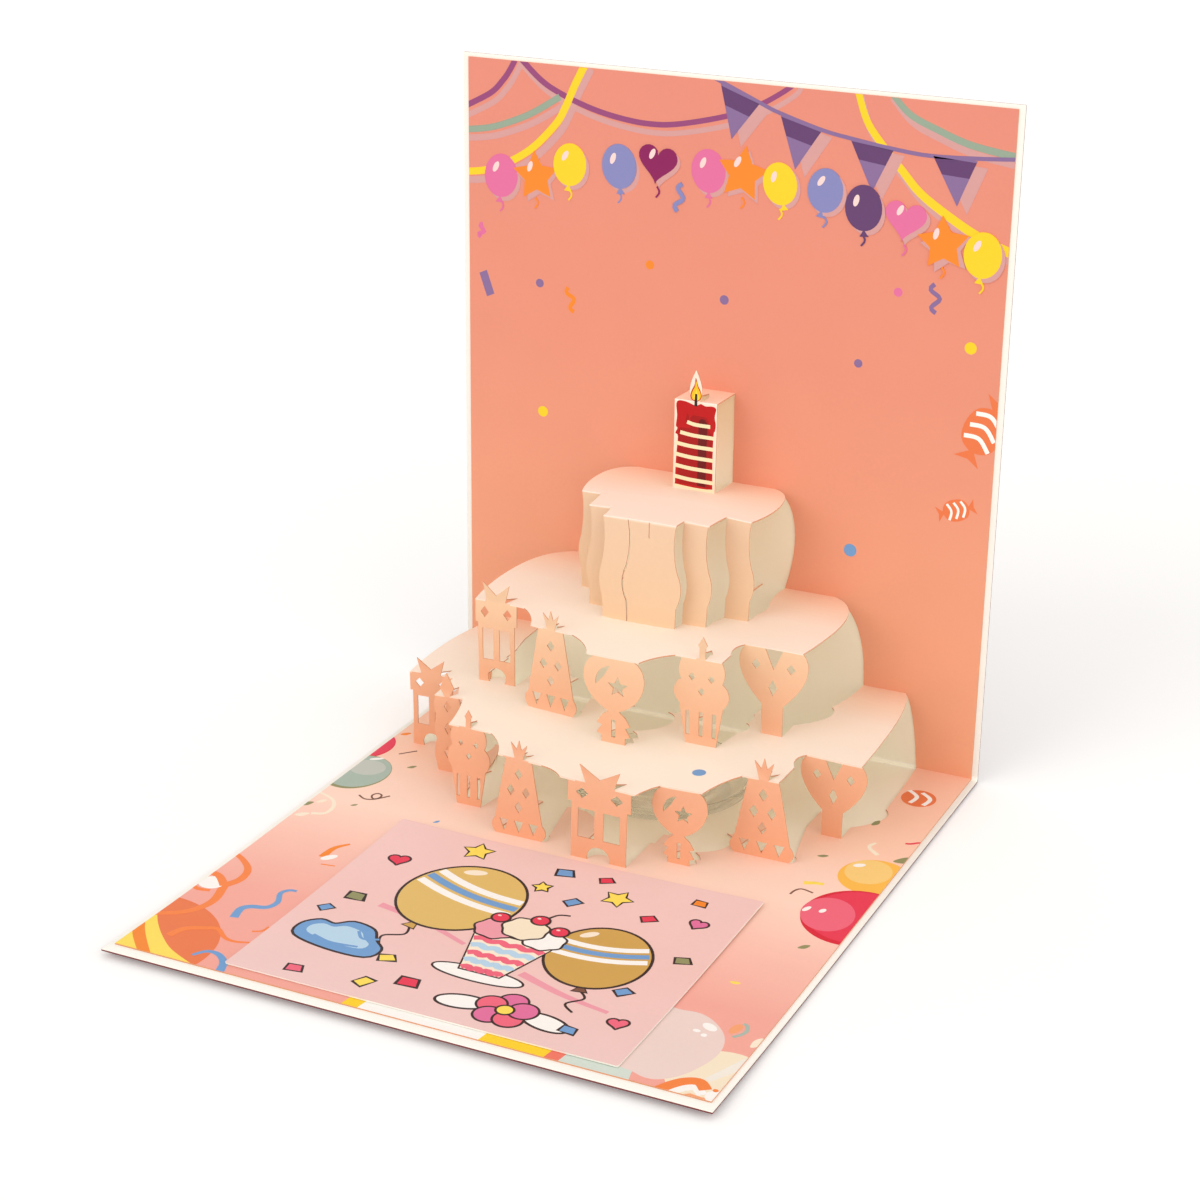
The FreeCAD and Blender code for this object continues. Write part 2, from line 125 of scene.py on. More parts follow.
class Ink(Enum):
    """The printer's inks."""

    PRINTED_SHADOW = srgb(214, 158, 155)
    HEATHER = srgb(136, 108, 155)
    AUBERGINE = srgb(98, 62, 110)
    MAUVE = srgb(150, 72, 122)
    PERIWINKLE = srgb(134, 136, 190)
    PLUM = srgb(138, 22, 90)
    PINK = srgb(226, 112, 160)
    MAGENTA = srgb(232, 55, 85)
    CRIMSON = srgb(218, 32, 58)
    ROSE_GLOW = srgb(240, 104, 128)
    ROSE = srgb(238, 158, 172)
    BLUSH = srgb(238, 214, 207)
    PALE_PINK = srgb(246, 216, 212)
    CORAL = srgb(240, 120, 100)
    ORANGE = srgb(246, 138, 40)
    APRICOT = srgb(235, 122, 72)
    TANGERINE = srgb(246, 134, 66)
    MELON = srgb(247, 166, 118)
    YELLOW = srgb(252, 211, 36)
    AMBER = srgb(252, 192, 80)
    HONEY = srgb(250, 210, 128)
    LEMON = srgb(253, 224, 92)
    VANILLA = srgb(247, 232, 205)
    CREAM = srgb(250, 236, 214)
    CREAM_SHINE = srgb(243, 237, 226)
    WHITE = srgb(252, 250, 246)
    OLIVE = srgb(146, 146, 100)
    UMBER = srgb(120, 78, 60)
    COCOA = srgb(48, 30, 28)
    TAN = srgb(208, 164, 84)
    BISCUIT = srgb(224, 188, 108)
    SAGE = srgb(150, 168, 148)
    CELADON = srgb(170, 188, 176)
    MIST = srgb(194, 200, 191)
    FROST = srgb(212, 224, 214)
    SKY = srgb(112, 160, 212)
    PALE_SKY = srgb(184, 216, 238)
    WAX_RED = srgb(190, 8, 10)
    WAX_DEEP = srgb(164, 2, 4)
    WAX_DARK = srgb(104, 0, 4)
    STRIPE = srgb(247, 230, 186)
    FLAME = srgb(252, 196, 30)
    FLAME_HEART = srgb(253, 222, 70)
    FLAME_EDGE = srgb(196, 62, 22)


# Outlines, in millimetres, run against the clock


def oval(u: float, v: float, wide: float, tall: float, turn: float = 0.0, steps: int = 36) -> Outline:
    """An oval.

    Args:
        u, v: its middle.
        wide, tall: its size before it is turned.
        turn: degrees against the clock.
        steps: how many corners it has.

    Returns:
        Its outline.
    """
    c, s = math.cos(math.radians(turn)), math.sin(math.radians(turn))
    outline = []
    for step in range(steps):
        angle = 2 * math.pi * step / steps
        x, y = wide / 2 * math.cos(angle), tall / 2 * math.sin(angle)
        outline.append((u + x * c - y * s, v + x * s + y * c))
    return outline


def star(u: float, v: float, radius: float, waist: float = 0.5, turn: float = 0.0, arms: int = 5) -> Outline:
    """A star with one arm up, or turned by some degrees.

    Args:
        u, v: its middle.
        radius: how far its arms reach.
        waist: the reach between two arms, as a share of that.
        turn: degrees against the clock.
        arms: how many arms it has.

    Returns:
        Its outline.
    """
    outline = []
    for step in range(2 * arms):
        reach = radius if step % 2 == 0 else radius * waist
        angle = math.radians(90 + turn) + math.pi * step / arms
        outline.append((u + reach * math.cos(angle), v + reach * math.sin(angle)))
    return outline


def heart(u: float, v: float, size: float, turn: float = 0.0) -> Outline:
    """A heart.

    Args:
        u, v: its middle.
        size: its width.
        turn: degrees against the clock.

    Returns:
        Its outline.
    """
    outline = []
    for step in range(40):
        t = 2 * math.pi * step / 40
        x = -16 * math.sin(t) ** 3
        y = 13 * math.cos(t) - 5 * math.cos(2 * t) - 2 * math.cos(3 * t) - math.cos(4 * t)
        outline.append((x * size / 32, (y + 2) * size / 32))
    return moved(outline, u, v, turn)


def moved(outline: Outline, u: float, v: float, turn: float = 0.0, size: float = 1.0) -> Outline:
    """An outline scaled and turned about its origin, and then moved to (u, v)."""
    c, s = size * math.cos(math.radians(turn)), size * math.sin(math.radians(turn))
    return [(u + x * c - y * s, v + x * s + y * c) for x, y in outline]


def smooth(corners: Outline, closed: bool = True, steps: int = 6) -> Outline:
    """A soft outline through the given corners.

    Args:
        corners: the points that it runs through.
        closed: whether it ends where it starts.
        steps: how many points it gets for each corner.

    Returns:
        The outline.
    """
    count = len(corners)
    spans = count if closed else count - 1
    outline = []
    for index in range(spans):
        near = []
        for offset in (-1, 0, 1, 2):
            at = index + offset
            near.append(corners[at % count if closed else min(max(at, 0), count - 1)])
        for step in range(steps):
            t = step / steps
            point = []
            for axis in (0, 1):
                a, b, c, d = (corner[axis] for corner in near)
                point.append(0.5 * (2 * b + (c - a) * t + (2 * a - 5 * b + 4 * c - d) * t * t
                                    + (3 * b - a - 3 * c + d) * t ** 3))
            outline.append(tuple(point))
    if not closed:
        outline.append(tuple(corners[-1]))
    return outline


def grown(outline: Outline, by: float) -> Outline:
    """An outline pushed outwards, for a dark line round a shape.

    Args:
        outline: a shape that runs against the clock.
        by: how far each corner moves.

    Returns:
        The wider outline.
    """
    wider = []
    for index, here in enumerate(outline):
        before, after = outline[index - 1], outline[(index + 1) % len(outline)]
        along = Vector((here[0] - before[0], here[1] - before[1])).normalized()
        along += Vector((after[0] - here[0], after[1] - here[1])).normalized()
        if along.length < 0.2:
            along = Vector((after[0] - here[0], after[1] - here[1]))
        along.normalize()
        wider.append((here[0] + along.y * by, here[1] - along.x * by))
    return wider


class Wiring:
    """Adds nodes to a node tree and joins them."""

    def __init__(self, tree: bpy.types.NodeTree) -> None:
        """Takes the tree that the nodes go in."""
        self.tree = tree

    def add(self, kind: str, inputs: dict | None = None, **settings: object) -> bpy.types.Node:
        """Adds one node.

        Args:
            kind: the node's type.
            inputs: what each socket gets, by name or number: a value, or another node's output.
            settings: the node's own options.

        Returns:
            The new node.
        """
        node = self.tree.nodes.new(kind)
        for name, value in settings.items():
            setattr(node, name, value)
        for name, value in (inputs or {}).items():
            if isinstance(value, bpy.types.NodeSocket):
                self.tree.links.new(value, node.inputs[name])
            else:
                node.inputs[name].default_value = value
        return node


def new_group(name: str, kind: str, takes: dict[str, str], gives: dict[str, str]) -> bpy.types.NodeTree:
    """A node group with named sockets.

    Args:
        name: the group's name.
        kind: its tree type.
        takes: the type of each input.
        gives: the type of each output.

    Returns:
        The group, with its input and output nodes still to be added.
    """
    group = bpy.data.node_groups.new(name, kind)
    for way, sockets in (("INPUT", takes), ("OUTPUT", gives)):
        for label, socket in sockets.items():
            group.interface.new_socket(label, in_out=way, socket_type=socket)
    return group


class PaperEffects:
    """The shader groups that every paper and board shares, each built once."""

    def __init__(self) -> None:
        """Builds the groups."""
        self.grain = self._grain()
        self.mottle = self._mottle()

    @staticmethod
    def _grain() -> bpy.types.NodeTree:
        """The paper's fibres as a height, and its cloudiness as a value."""
        group = new_group("paper_grain", "ShaderNodeTree",
                          {"Fibre Scale": "NodeSocketFloat", "Cloud Scale": "NodeSocketFloat"},
                          {"Height": "NodeSocketFloat", "Cloud": "NodeSocketFloat"})
        wiring = Wiring(group)
        given = wiring.add("NodeGroupInput")
        place = wiring.add("ShaderNodeTexCoord").outputs["Object"]
        fibre = wiring.add("ShaderNodeTexNoise", {
            "Vector": place, "Scale": given.outputs["Fibre Scale"], "Detail": 5.0, "Roughness": 0.7,
            "Distortion": 0.6})
        cloud = wiring.add("ShaderNodeTexNoise", {
            "Vector": place, "Scale": given.outputs["Cloud Scale"], "Detail": 3.0})
        clear = wiring.add("ShaderNodeMapRange", {
            "Value": cloud.outputs["Fac"], "From Min": 0.32, "From Max": 0.68})
        wiring.add("NodeGroupOutput", {"Height": fibre.outputs["Fac"], "Cloud": clear.outputs["Result"]})
        return group

    @staticmethod
    def _mottle() -> bpy.types.NodeTree:
        """A colour with the slight unevenness of ink on paper."""
        group = new_group("print_mottle", "ShaderNodeTree",
                          {"Colour": "NodeSocketColor", "Strength": "NodeSocketFloat",
                           "Speck Scale": "NodeSocketFloat"}, {"Colour": "NodeSocketColor"})
        wiring = Wiring(group)
        given = wiring.add("NodeGroupInput")
        place = wiring.add("ShaderNodeTexCoord").outputs["Object"]
        speck = wiring.add("ShaderNodeTexNoise", {
            "Vector": place, "Scale": given.outputs["Speck Scale"], "Detail": 4.0, "Roughness": 0.6})
        broad = wiring.add("ShaderNodeTexNoise", {"Vector": place, "Scale": 42.0, "Detail": 2.0})
        mixed = wiring.add("ShaderNodeMath", {0: speck.outputs["Fac"], 1: broad.outputs["Fac"]},
                           operation="ADD")
        centred = wiring.add("ShaderNodeMath", {0: mixed.outputs[0], 1: 1.0}, operation="SUBTRACT")
        share = wiring.add("ShaderNodeMath", {
            0: centred.outputs[0], 1: given.outputs["Strength"], 2: 1.0}, operation="MULTIPLY_ADD")
        tone = wiring.add("ShaderNodeCombineColor", {
            "Red": share.outputs[0], "Green": share.outputs[0], "Blue": share.outputs[0]})
        blend = wiring.add("ShaderNodeMix", {
            0: 1.0, 6: given.outputs["Colour"], 7: tone.outputs["Color"]},
            data_type="RGBA", blend_type="MULTIPLY")
        wiring.add("NodeGroupOutput", {"Colour": blend.outputs[2]})
        return group


class Axis(Enum):
    """The way in which a finish changes colour."""

    ACROSS = "X"
    DEPTH = "Y"
    HEIGHT = "Z"


@dataclass(frozen=True)
class PaperFinish:
    """A printed or bare paper or board, with its colour given in bands along one axis."""

    name: str
    bands: tuple[tuple[float, Colour], ...]
    axis: Axis = Axis.HEIGHT
    roughness: float = 0.6
    mottle: float = 0.05
    fibre_depth: float = 0.00002
    fibre_scale: float = 2600.0
    gloss: float = 0.35

    def build(self, effects: PaperEffects) -> bpy.types.Material:
        """The finish as a material.

        Args:
            effects: the shared shader groups.

        Returns:
            The material.
        """
        material = bpy.data.materials.new(self.name)
        material.use_nodes = True
        material.node_tree.nodes.clear()
        wiring = Wiring(material.node_tree)
        place = wiring.add("ShaderNodeTexCoord").outputs["Object"]
        split = wiring.add("ShaderNodeSeparateXYZ", {0: place})
        low, high = self.bands[0][0], self.bands[-1][0]
        along = wiring.add("ShaderNodeMapRange", {
            "Value": split.outputs[self.axis.value], "From Min": low, "From Max": max(high, low + MM)})
        ramp = wiring.add("ShaderNodeValToRGB", {"Fac": along.outputs["Result"]})
        stops = ramp.color_ramp.elements
        while len(stops) < len(self.bands):
            stops.new(1.0)
        for stop, (at, colour) in zip(stops, self.bands):
            stop.position = (at - low) / max(high - low, MM)
            stop.color = colour
        if len(self.bands) == 1:
            stops[1].color = self.bands[0][1]
        self.finish(wiring, effects, ramp.outputs["Color"])
        return material

    def finish(self, wiring: Wiring, effects: PaperEffects, colour: bpy.types.NodeSocket) -> None:
        """Joins a colour to a matte paper surface.

        Args:
            wiring: the material's tree.
            effects: the shared shader groups.
            colour: the colour before its mottle.
        """
        mottle = wiring.add("ShaderNodeGroup", node_tree=effects.mottle)
        wiring.tree.links.new(colour, mottle.inputs["Colour"])
        mottle.inputs["Strength"].default_value = self.mottle
        mottle.inputs["Speck Scale"].default_value = 900.0
        grain = wiring.add("ShaderNodeGroup", node_tree=effects.grain)
        grain.inputs["Fibre Scale"].default_value = self.fibre_scale
        grain.inputs["Cloud Scale"].default_value = 60.0
        rough = wiring.add("ShaderNodeMapRange", {
            "Value": grain.outputs["Cloud"], "To Min": self.roughness - 0.05,
            "To Max": self.roughness + 0.06})
        bump = wiring.add("ShaderNodeBump", {
            "Height": grain.outputs["Height"], "Strength": 0.5, "Distance": self.fibre_depth})
        shader = wiring.add("ShaderNodeBsdfPrincipled", {
            "Base Color": mottle.outputs["Colour"], "Roughness": rough.outputs["Result"],
            "Normal": bump.outputs["Normal"], "Specular IOR Level": self.gloss})
        wiring.add("ShaderNodeOutputMaterial", {"Surface": shader.outputs["BSDF"]})


@dataclass(frozen=True)
class InkFinish(PaperFinish):
    """Print that takes its colour from the ink of each shape."""

    def build(self, effects: PaperEffects) -> bpy.types.Material:
        """The finish as a material, whose colour is read from the mesh."""
        material = bpy.data.materials.new(self.name)
        material.use_nodes = True
        material.node_tree.nodes.clear()
        wiring = Wiring(material.node_tree)
        ink = wiring.add("ShaderNodeAttribute", attribute_name=INK_ATTRIBUTE)
        self.finish(wiring, effects, ink.outputs["Color"])
        return material


@dataclass(frozen=True)
class PlasticFinish:
    """Clear moulded plastic with fine scuffs."""

    name: str = "clear_plastic"
    roughness: float = 0.05
    refraction: float = 1.3
    clearness: float = 0.5

    def build(self, effects: PaperEffects) -> bpy.types.Material:
        """The finish as a material, whose roughness follows the cloudiness of the moulding."""
        material = bpy.data.materials.new(self.name)
        material.use_nodes = True
        material.node_tree.nodes.clear()
        wiring = Wiring(material.node_tree)
        grain = wiring.add("ShaderNodeGroup", node_tree=effects.grain)
        grain.inputs["Fibre Scale"].default_value = 700.0
        grain.inputs["Cloud Scale"].default_value = 130.0
        rough = wiring.add("ShaderNodeMapRange", {
            "Value": grain.outputs["Cloud"], "To Min": self.roughness * 0.5,
            "To Max": self.roughness * 2.4})
        shader = wiring.add("ShaderNodeBsdfPrincipled", {
            "Base Color": srgb(252, 253, 252), "Roughness": rough.outputs["Result"],
            "IOR": self.refraction, "Transmission Weight": 1.0})
        clear = wiring.add("ShaderNodeBsdfTransparent", {"Color": srgb(249, 250, 249)})
        ray = wiring.add("ShaderNodeLightPath")
        unseen = wiring.add("ShaderNodeMath", {
            0: ray.outputs["Is Shadow Ray"], 1: ray.outputs["Is Diffuse Ray"]}, operation="MAXIMUM")
        share = wiring.add("ShaderNodeMath", {0: unseen.outputs[0], 1: self.clearness},
                           operation="MAXIMUM")
        both = wiring.add("ShaderNodeMixShader", {
            0: share.outputs[0], 1: shader.outputs[0], 2: clear.outputs[0]})
        wiring.add("ShaderNodeOutputMaterial", {"Surface": both.outputs[0]})
        return material


# The upright half's coral, by height: lighter near its foot and darker towards its top, which is painted light
# and shade.
CORAL_BACK = PaperFinish("coral_back", ((0.0, srgb(240, 167, 130)), (0.06, srgb(237, 159, 127)),
                                        (0.12, srgb(231, 147, 122)), (0.2, srgb(229, 141, 122))))
# The flat half's coral, by depth: lightest just in front of the cake, darker towards the front edge and towards
# the gutter. This is a painted pool of light with painted shade round it.
CORAL_BASE = PaperFinish("coral_base", ((-0.097, srgb(243, 168, 154)), (-0.055, srgb(244, 172, 158)),
                                        (-0.022, srgb(251, 198, 182)), (0.004, srgb(255, 220, 202)),
                                        (0.02, srgb(255, 218, 200)),
                                        (0.04, srgb(254, 208, 184)), (0.1, srgb(252, 196, 170))), Axis.DEPTH)
ICING = PaperFinish("icing", ((0.0, srgb(255, 242, 226)), (0.074, srgb(255, 240, 224)),
                              (0.088, srgb(255, 228, 205)), (0.099, srgb(252, 206, 178))), Axis.DEPTH)
# The standing figures, by height: each tier's figures are darker at their feet and lighter towards their top.
# This is painted light and shade over a paper colour that changes from tier to tier.
FIGURES = PaperFinish("figures", ((0.001, srgb(238, 168, 130)), (0.0255, srgb(241, 182, 146)),
                                  (0.028, srgb(238, 176, 139)), (0.0505, srgb(243, 203, 166)),
                                  (0.052, srgb(236, 198, 162)), (0.081, srgb(238, 204, 172)),
                                  (0.0815, srgb(252, 226, 204)), (0.12, srgb(254, 232, 214))))
# The sheet's unprinted side, by height: near white low down, darker and warmer higher up under the tiers, which
# is painted shade and warm bounce light.
BARE_PAPER = PaperFinish("bare_paper", ((0.0, srgb(255, 248, 232)), (0.05, srgb(255, 246, 226)),
                                        (0.054, srgb(251, 227, 182)), (0.12, srgb(243, 211, 164))),
                         mottle=0.03)
CUT_EDGE = PaperFinish("cut_edge", ((0.0, srgb(214, 150, 112)),), mottle=0.14)
# The strips along the folds: lighter for the print cracked open at each fold, and for a painted highlight where
# the fold's round edge catches the light. They are lighter still higher up.
CREASE = PaperFinish("crease", ((0.001, srgb(253, 216, 192)), (0.1, srgb(255, 240, 225))), mottle=0.1)
# The board's face under the sheet, seen through its openings: a cream tint and a darker, warmer top band that
# are painted warm bounce light and shade. The same board is white at its border.
BOARD_INSIDE = PaperFinish("board_inside", ((0.0, srgb(255, 250, 232)), (0.085, srgb(255, 246, 224)),
                                            (0.1, srgb(244, 226, 192))), mottle=0.03)
BOARD_BORDER = PaperFinish("board_border", ((0.0, srgb(252, 251, 244)), (0.2, srgb(250, 245, 236))),
                           mottle=0.03)
BOARD_OUTSIDE = PaperFinish("board_outside", ((0.0, srgb(118, 34, 36)),), roughness=0.5, mottle=0.06)
BOARD_EDGE = PaperFinish("board_edge", ((0.0, srgb(250, 244, 234)),), roughness=0.8, mottle=0.12,
                         fibre_depth=0.00005, fibre_scale=1400.0)
CARD_FACE = PaperFinish("card_face", ((-0.093, srgb(240, 204, 200)), (-0.045, srgb(242, 199, 193)),
                                      (-0.001, srgb(243, 204, 200))), Axis.DEPTH, roughness=0.5)
CARD_BACK = PaperFinish("card_back", ((0.0, srgb(246, 240, 230)),), mottle=0.03)
INKS = InkFinish("printed_ink", (), mottle=0.05)
PLASTIC = PlasticFinish()


def evaluated(source: bpy.types.Object, name: str) -> bpy.types.Object:
    """Turns an object with its modifiers into a plain mesh.

    Args:
        source: the object, which is removed.
        name: the new piece's name.

    Returns:
        The plain piece.
    """
    graph = bpy.context.evaluated_depsgraph_get()
    mesh = bpy.data.meshes.new_from_object(source.evaluated_get(graph), preserve_all_data_layers=True,
                                           depsgraph=graph)
    source.modifiers.clear()
    bpy.data.objects.remove(source)
    mesh.name = name
    piece = bpy.data.objects.new(name, mesh)
    bpy.context.scene.collection.objects.link(piece)
    return piece


def run_tree(source: bpy.types.Object, tree: bpy.types.NodeTree, settings: dict[str, object],
             name: str) -> bpy.types.Object:
    """Runs a Geometry Nodes tree on an object and keeps the result as a plain mesh.

    Args:
        source: the object that the tree starts from.
        tree: the tree.
        settings: a value for each of the tree's named inputs.
        name: the new piece's name.

    Returns:
        The plain piece.
    """
    modifier = source.modifiers.new(tree.name, "NODES")
    modifier.node_group = tree
    for item in tree.interface.items_tree:
        if item.item_type == "SOCKET" and item.in_out == "INPUT" and item.name in settings:
            modifier[item.identifier] = settings[item.name]
    return evaluated(source, name)


class PrintTrees:
    """The Geometry Nodes trees that lay out printed bands, bits and bunting, each built once."""

    def __init__(self) -> None:
        """Builds the trees."""
        self.bands = self._bands()
        self.bits = self._bits()
        self.bunting = self._bunting()

    @staticmethod
    def _read(wiring: Wiring, name: str, kind: str = "FLOAT") -> bpy.types.NodeSocket:
        """The value of a named attribute."""
        return wiring.add("GeometryNodeInputNamedAttribute", {"Name": name}, data_type=kind).outputs[0]

    @staticmethod
    def _close(wiring: Wiring, shape: bpy.types.NodeSocket, finish: bpy.types.NodeSocket) -> None:
        """Ends a tree with Realize Instances and Set Material."""
        real = wiring.add("GeometryNodeRealizeInstances", {"Geometry": shape})
        dressed = wiring.add("GeometryNodeSetMaterial", {
            "Geometry": real.outputs["Geometry"], "Material": finish})
        wiring.add("NodeGroupOutput", {"Geometry": dressed.outputs["Geometry"]})

    def _bands(self) -> bpy.types.NodeTree:
        """Flat bands that follow paths, as wide at each point as its width says, and all as thick."""
        tree = new_group("printed_bands", "GeometryNodeTree",
                         {"Geometry": "NodeSocketGeometry", "Step": "NodeSocketFloat",
                          "Thickness": "NodeSocketFloat", "Finish": "NodeSocketMaterial"},
                         {"Geometry": "NodeSocketGeometry"})
        wiring = Wiring(tree)
        given = wiring.add("NodeGroupInput")
        path = wiring.add("GeometryNodeMeshToCurve", {"Mesh": given.outputs["Geometry"]})
        soft = wiring.add("GeometryNodeCurveSplineType", {"Curve": path.outputs["Curve"]},
                          spline_type="CATMULL_ROM")
        fine = wiring.add("GeometryNodeResampleCurve", {
            "Curve": soft.outputs["Curve"], "Length": given.outputs["Step"]}, mode="LENGTH")
        flat = wiring.add("GeometryNodeSetCurveNormal", {"Curve": fine.outputs["Curve"]}, mode="Z_UP")
        section = wiring.add("GeometryNodeCurvePrimitiveQuadrilateral", {
            "Width": 1.0, "Height": given.outputs["Thickness"]}, mode="RECTANGLE")
        band = wiring.add("GeometryNodeCurveToMesh", {
            "Curve": flat.outputs["Curve"], "Profile Curve": section.outputs["Curve"],
            "Scale": self._read(wiring, WIDTH_ATTRIBUTE), "Fill Caps": True})
        place = wiring.add("ShaderNodeSeparateXYZ", {
            "Vector": wiring.add("GeometryNodeInputPosition").outputs["Position"]})
        level = self._read(wiring, LEVEL_ATTRIBUTE)
        over = wiring.add("ShaderNodeMath", {0: place.outputs["Z"], 1: level}, operation="SUBTRACT")
        thin = wiring.add("ShaderNodeMath", {
            0: over.outputs[0], 1: self._read(wiring, WIDTH_ATTRIBUTE)}, operation="DIVIDE")
        back = wiring.add("ShaderNodeMath", {0: thin.outputs[0], 1: level}, operation="ADD")
        kept = wiring.add("ShaderNodeCombineXYZ", {
            "X": place.outputs["X"], "Y": place.outputs["Y"], "Z": back.outputs[0]})
        even = wiring.add("GeometryNodeSetPosition", {
            "Geometry": band.outputs["Mesh"], "Position": kept.outputs["Vector"]})
        self._close(wiring, even.outputs["Geometry"], given.outputs["Finish"])
        return tree

    def _bits(self) -> bpy.types.NodeTree:
        """One motif on each point, with the point's own size and turn and a little chance."""
        tree = new_group("printed_bits", "GeometryNodeTree",
                         {"Geometry": "NodeSocketGeometry", "Motif": "NodeSocketObject",
                          "Turn Range": "NodeSocketFloat", "Seed": "NodeSocketInt",
                          "Finish": "NodeSocketMaterial"}, {"Geometry": "NodeSocketGeometry"})
        wiring = Wiring(tree)
        given = wiring.add("NodeGroupInput")
        points = wiring.add("GeometryNodeMeshToPoints", {"Mesh": given.outputs["Geometry"]})
        motif = wiring.add("GeometryNodeObjectInfo", {
            "Object": given.outputs["Motif"], "As Instance": True})
        least = wiring.add("ShaderNodeMath", {0: given.outputs["Turn Range"], 1: -1.0},
                           operation="MULTIPLY")
        chance = wiring.add("FunctionNodeRandomValue", {
            2: least.outputs[0], 3: given.outputs["Turn Range"], "Seed": given.outputs["Seed"]},
            data_type="FLOAT")
        turn = wiring.add("ShaderNodeMath", {
            0: self._read(wiring, TURN_ATTRIBUTE), 1: chance.outputs[1]}, operation="ADD")
        upright = wiring.add("ShaderNodeCombineXYZ", {"Z": turn.outputs[0]})
        size = self._read(wiring, SIZE_ATTRIBUTE)
        scale = wiring.add("ShaderNodeCombineXYZ", {"X": size, "Y": size, "Z": 1.0})
        placed = wiring.add("GeometryNodeInstanceOnPoints", {
            "Points": points.outputs["Points"], "Instance": motif.outputs["Geometry"],
            "Rotation": upright.outputs["Vector"], "Scale": scale.outputs["Vector"]})
        self._close(wiring, placed.outputs["Instances"], given.outputs["Finish"])
        return tree

    def _bunting(self) -> bpy.types.NodeTree:
        """A flag on each point of a string, turned as the string runs."""
        tree = new_group("printed_bunting", "GeometryNodeTree",
                         {"Geometry": "NodeSocketGeometry", "Flag": "NodeSocketObject",
                          "Finish": "NodeSocketMaterial"}, {"Geometry": "NodeSocketGeometry"})
        wiring = Wiring(tree)
        given = wiring.add("NodeGroupInput")
        path = wiring.add("GeometryNodeMeshToCurve", {"Mesh": given.outputs["Geometry"]})
        along = wiring.add("GeometryNodeInputTangent")
        turned = wiring.add("FunctionNodeAlignRotationToVector", {"Vector": along.outputs["Tangent"]},
                            axis="X")
        flag = wiring.add("GeometryNodeObjectInfo", {
            "Object": given.outputs["Flag"], "As Instance": True})
        hung = wiring.add("GeometryNodeInstanceOnPoints", {
            "Points": path.outputs["Curve"], "Instance": flag.outputs["Geometry"],
            "Rotation": turned.outputs["Rotation"]})
        self._close(wiring, hung.outputs["Instances"], given.outputs["Finish"])
        return tree


@dataclass(frozen=True)
class Lamp:
    """A broad distant lamp: where it shines from, its strength and its width in degrees."""

    name: str
    source: tuple[float, float, float]
    strength: float
    spread: float

    def build(self) -> None:
        """Hangs the lamp."""
        data = bpy.data.lights.new(self.name, "SUN")
        data.energy = self.strength
        data.angle = math.radians(self.spread)
        data.color = srgb(255, 251, 245)[:3]
        lamp = bpy.data.objects.new(self.name, data)
        lamp.rotation_mode = "QUATERNION"
        lamp.rotation_quaternion = Vector(self.source).to_track_quat("Z", "Y")
        bpy.context.scene.collection.objects.link(lamp)


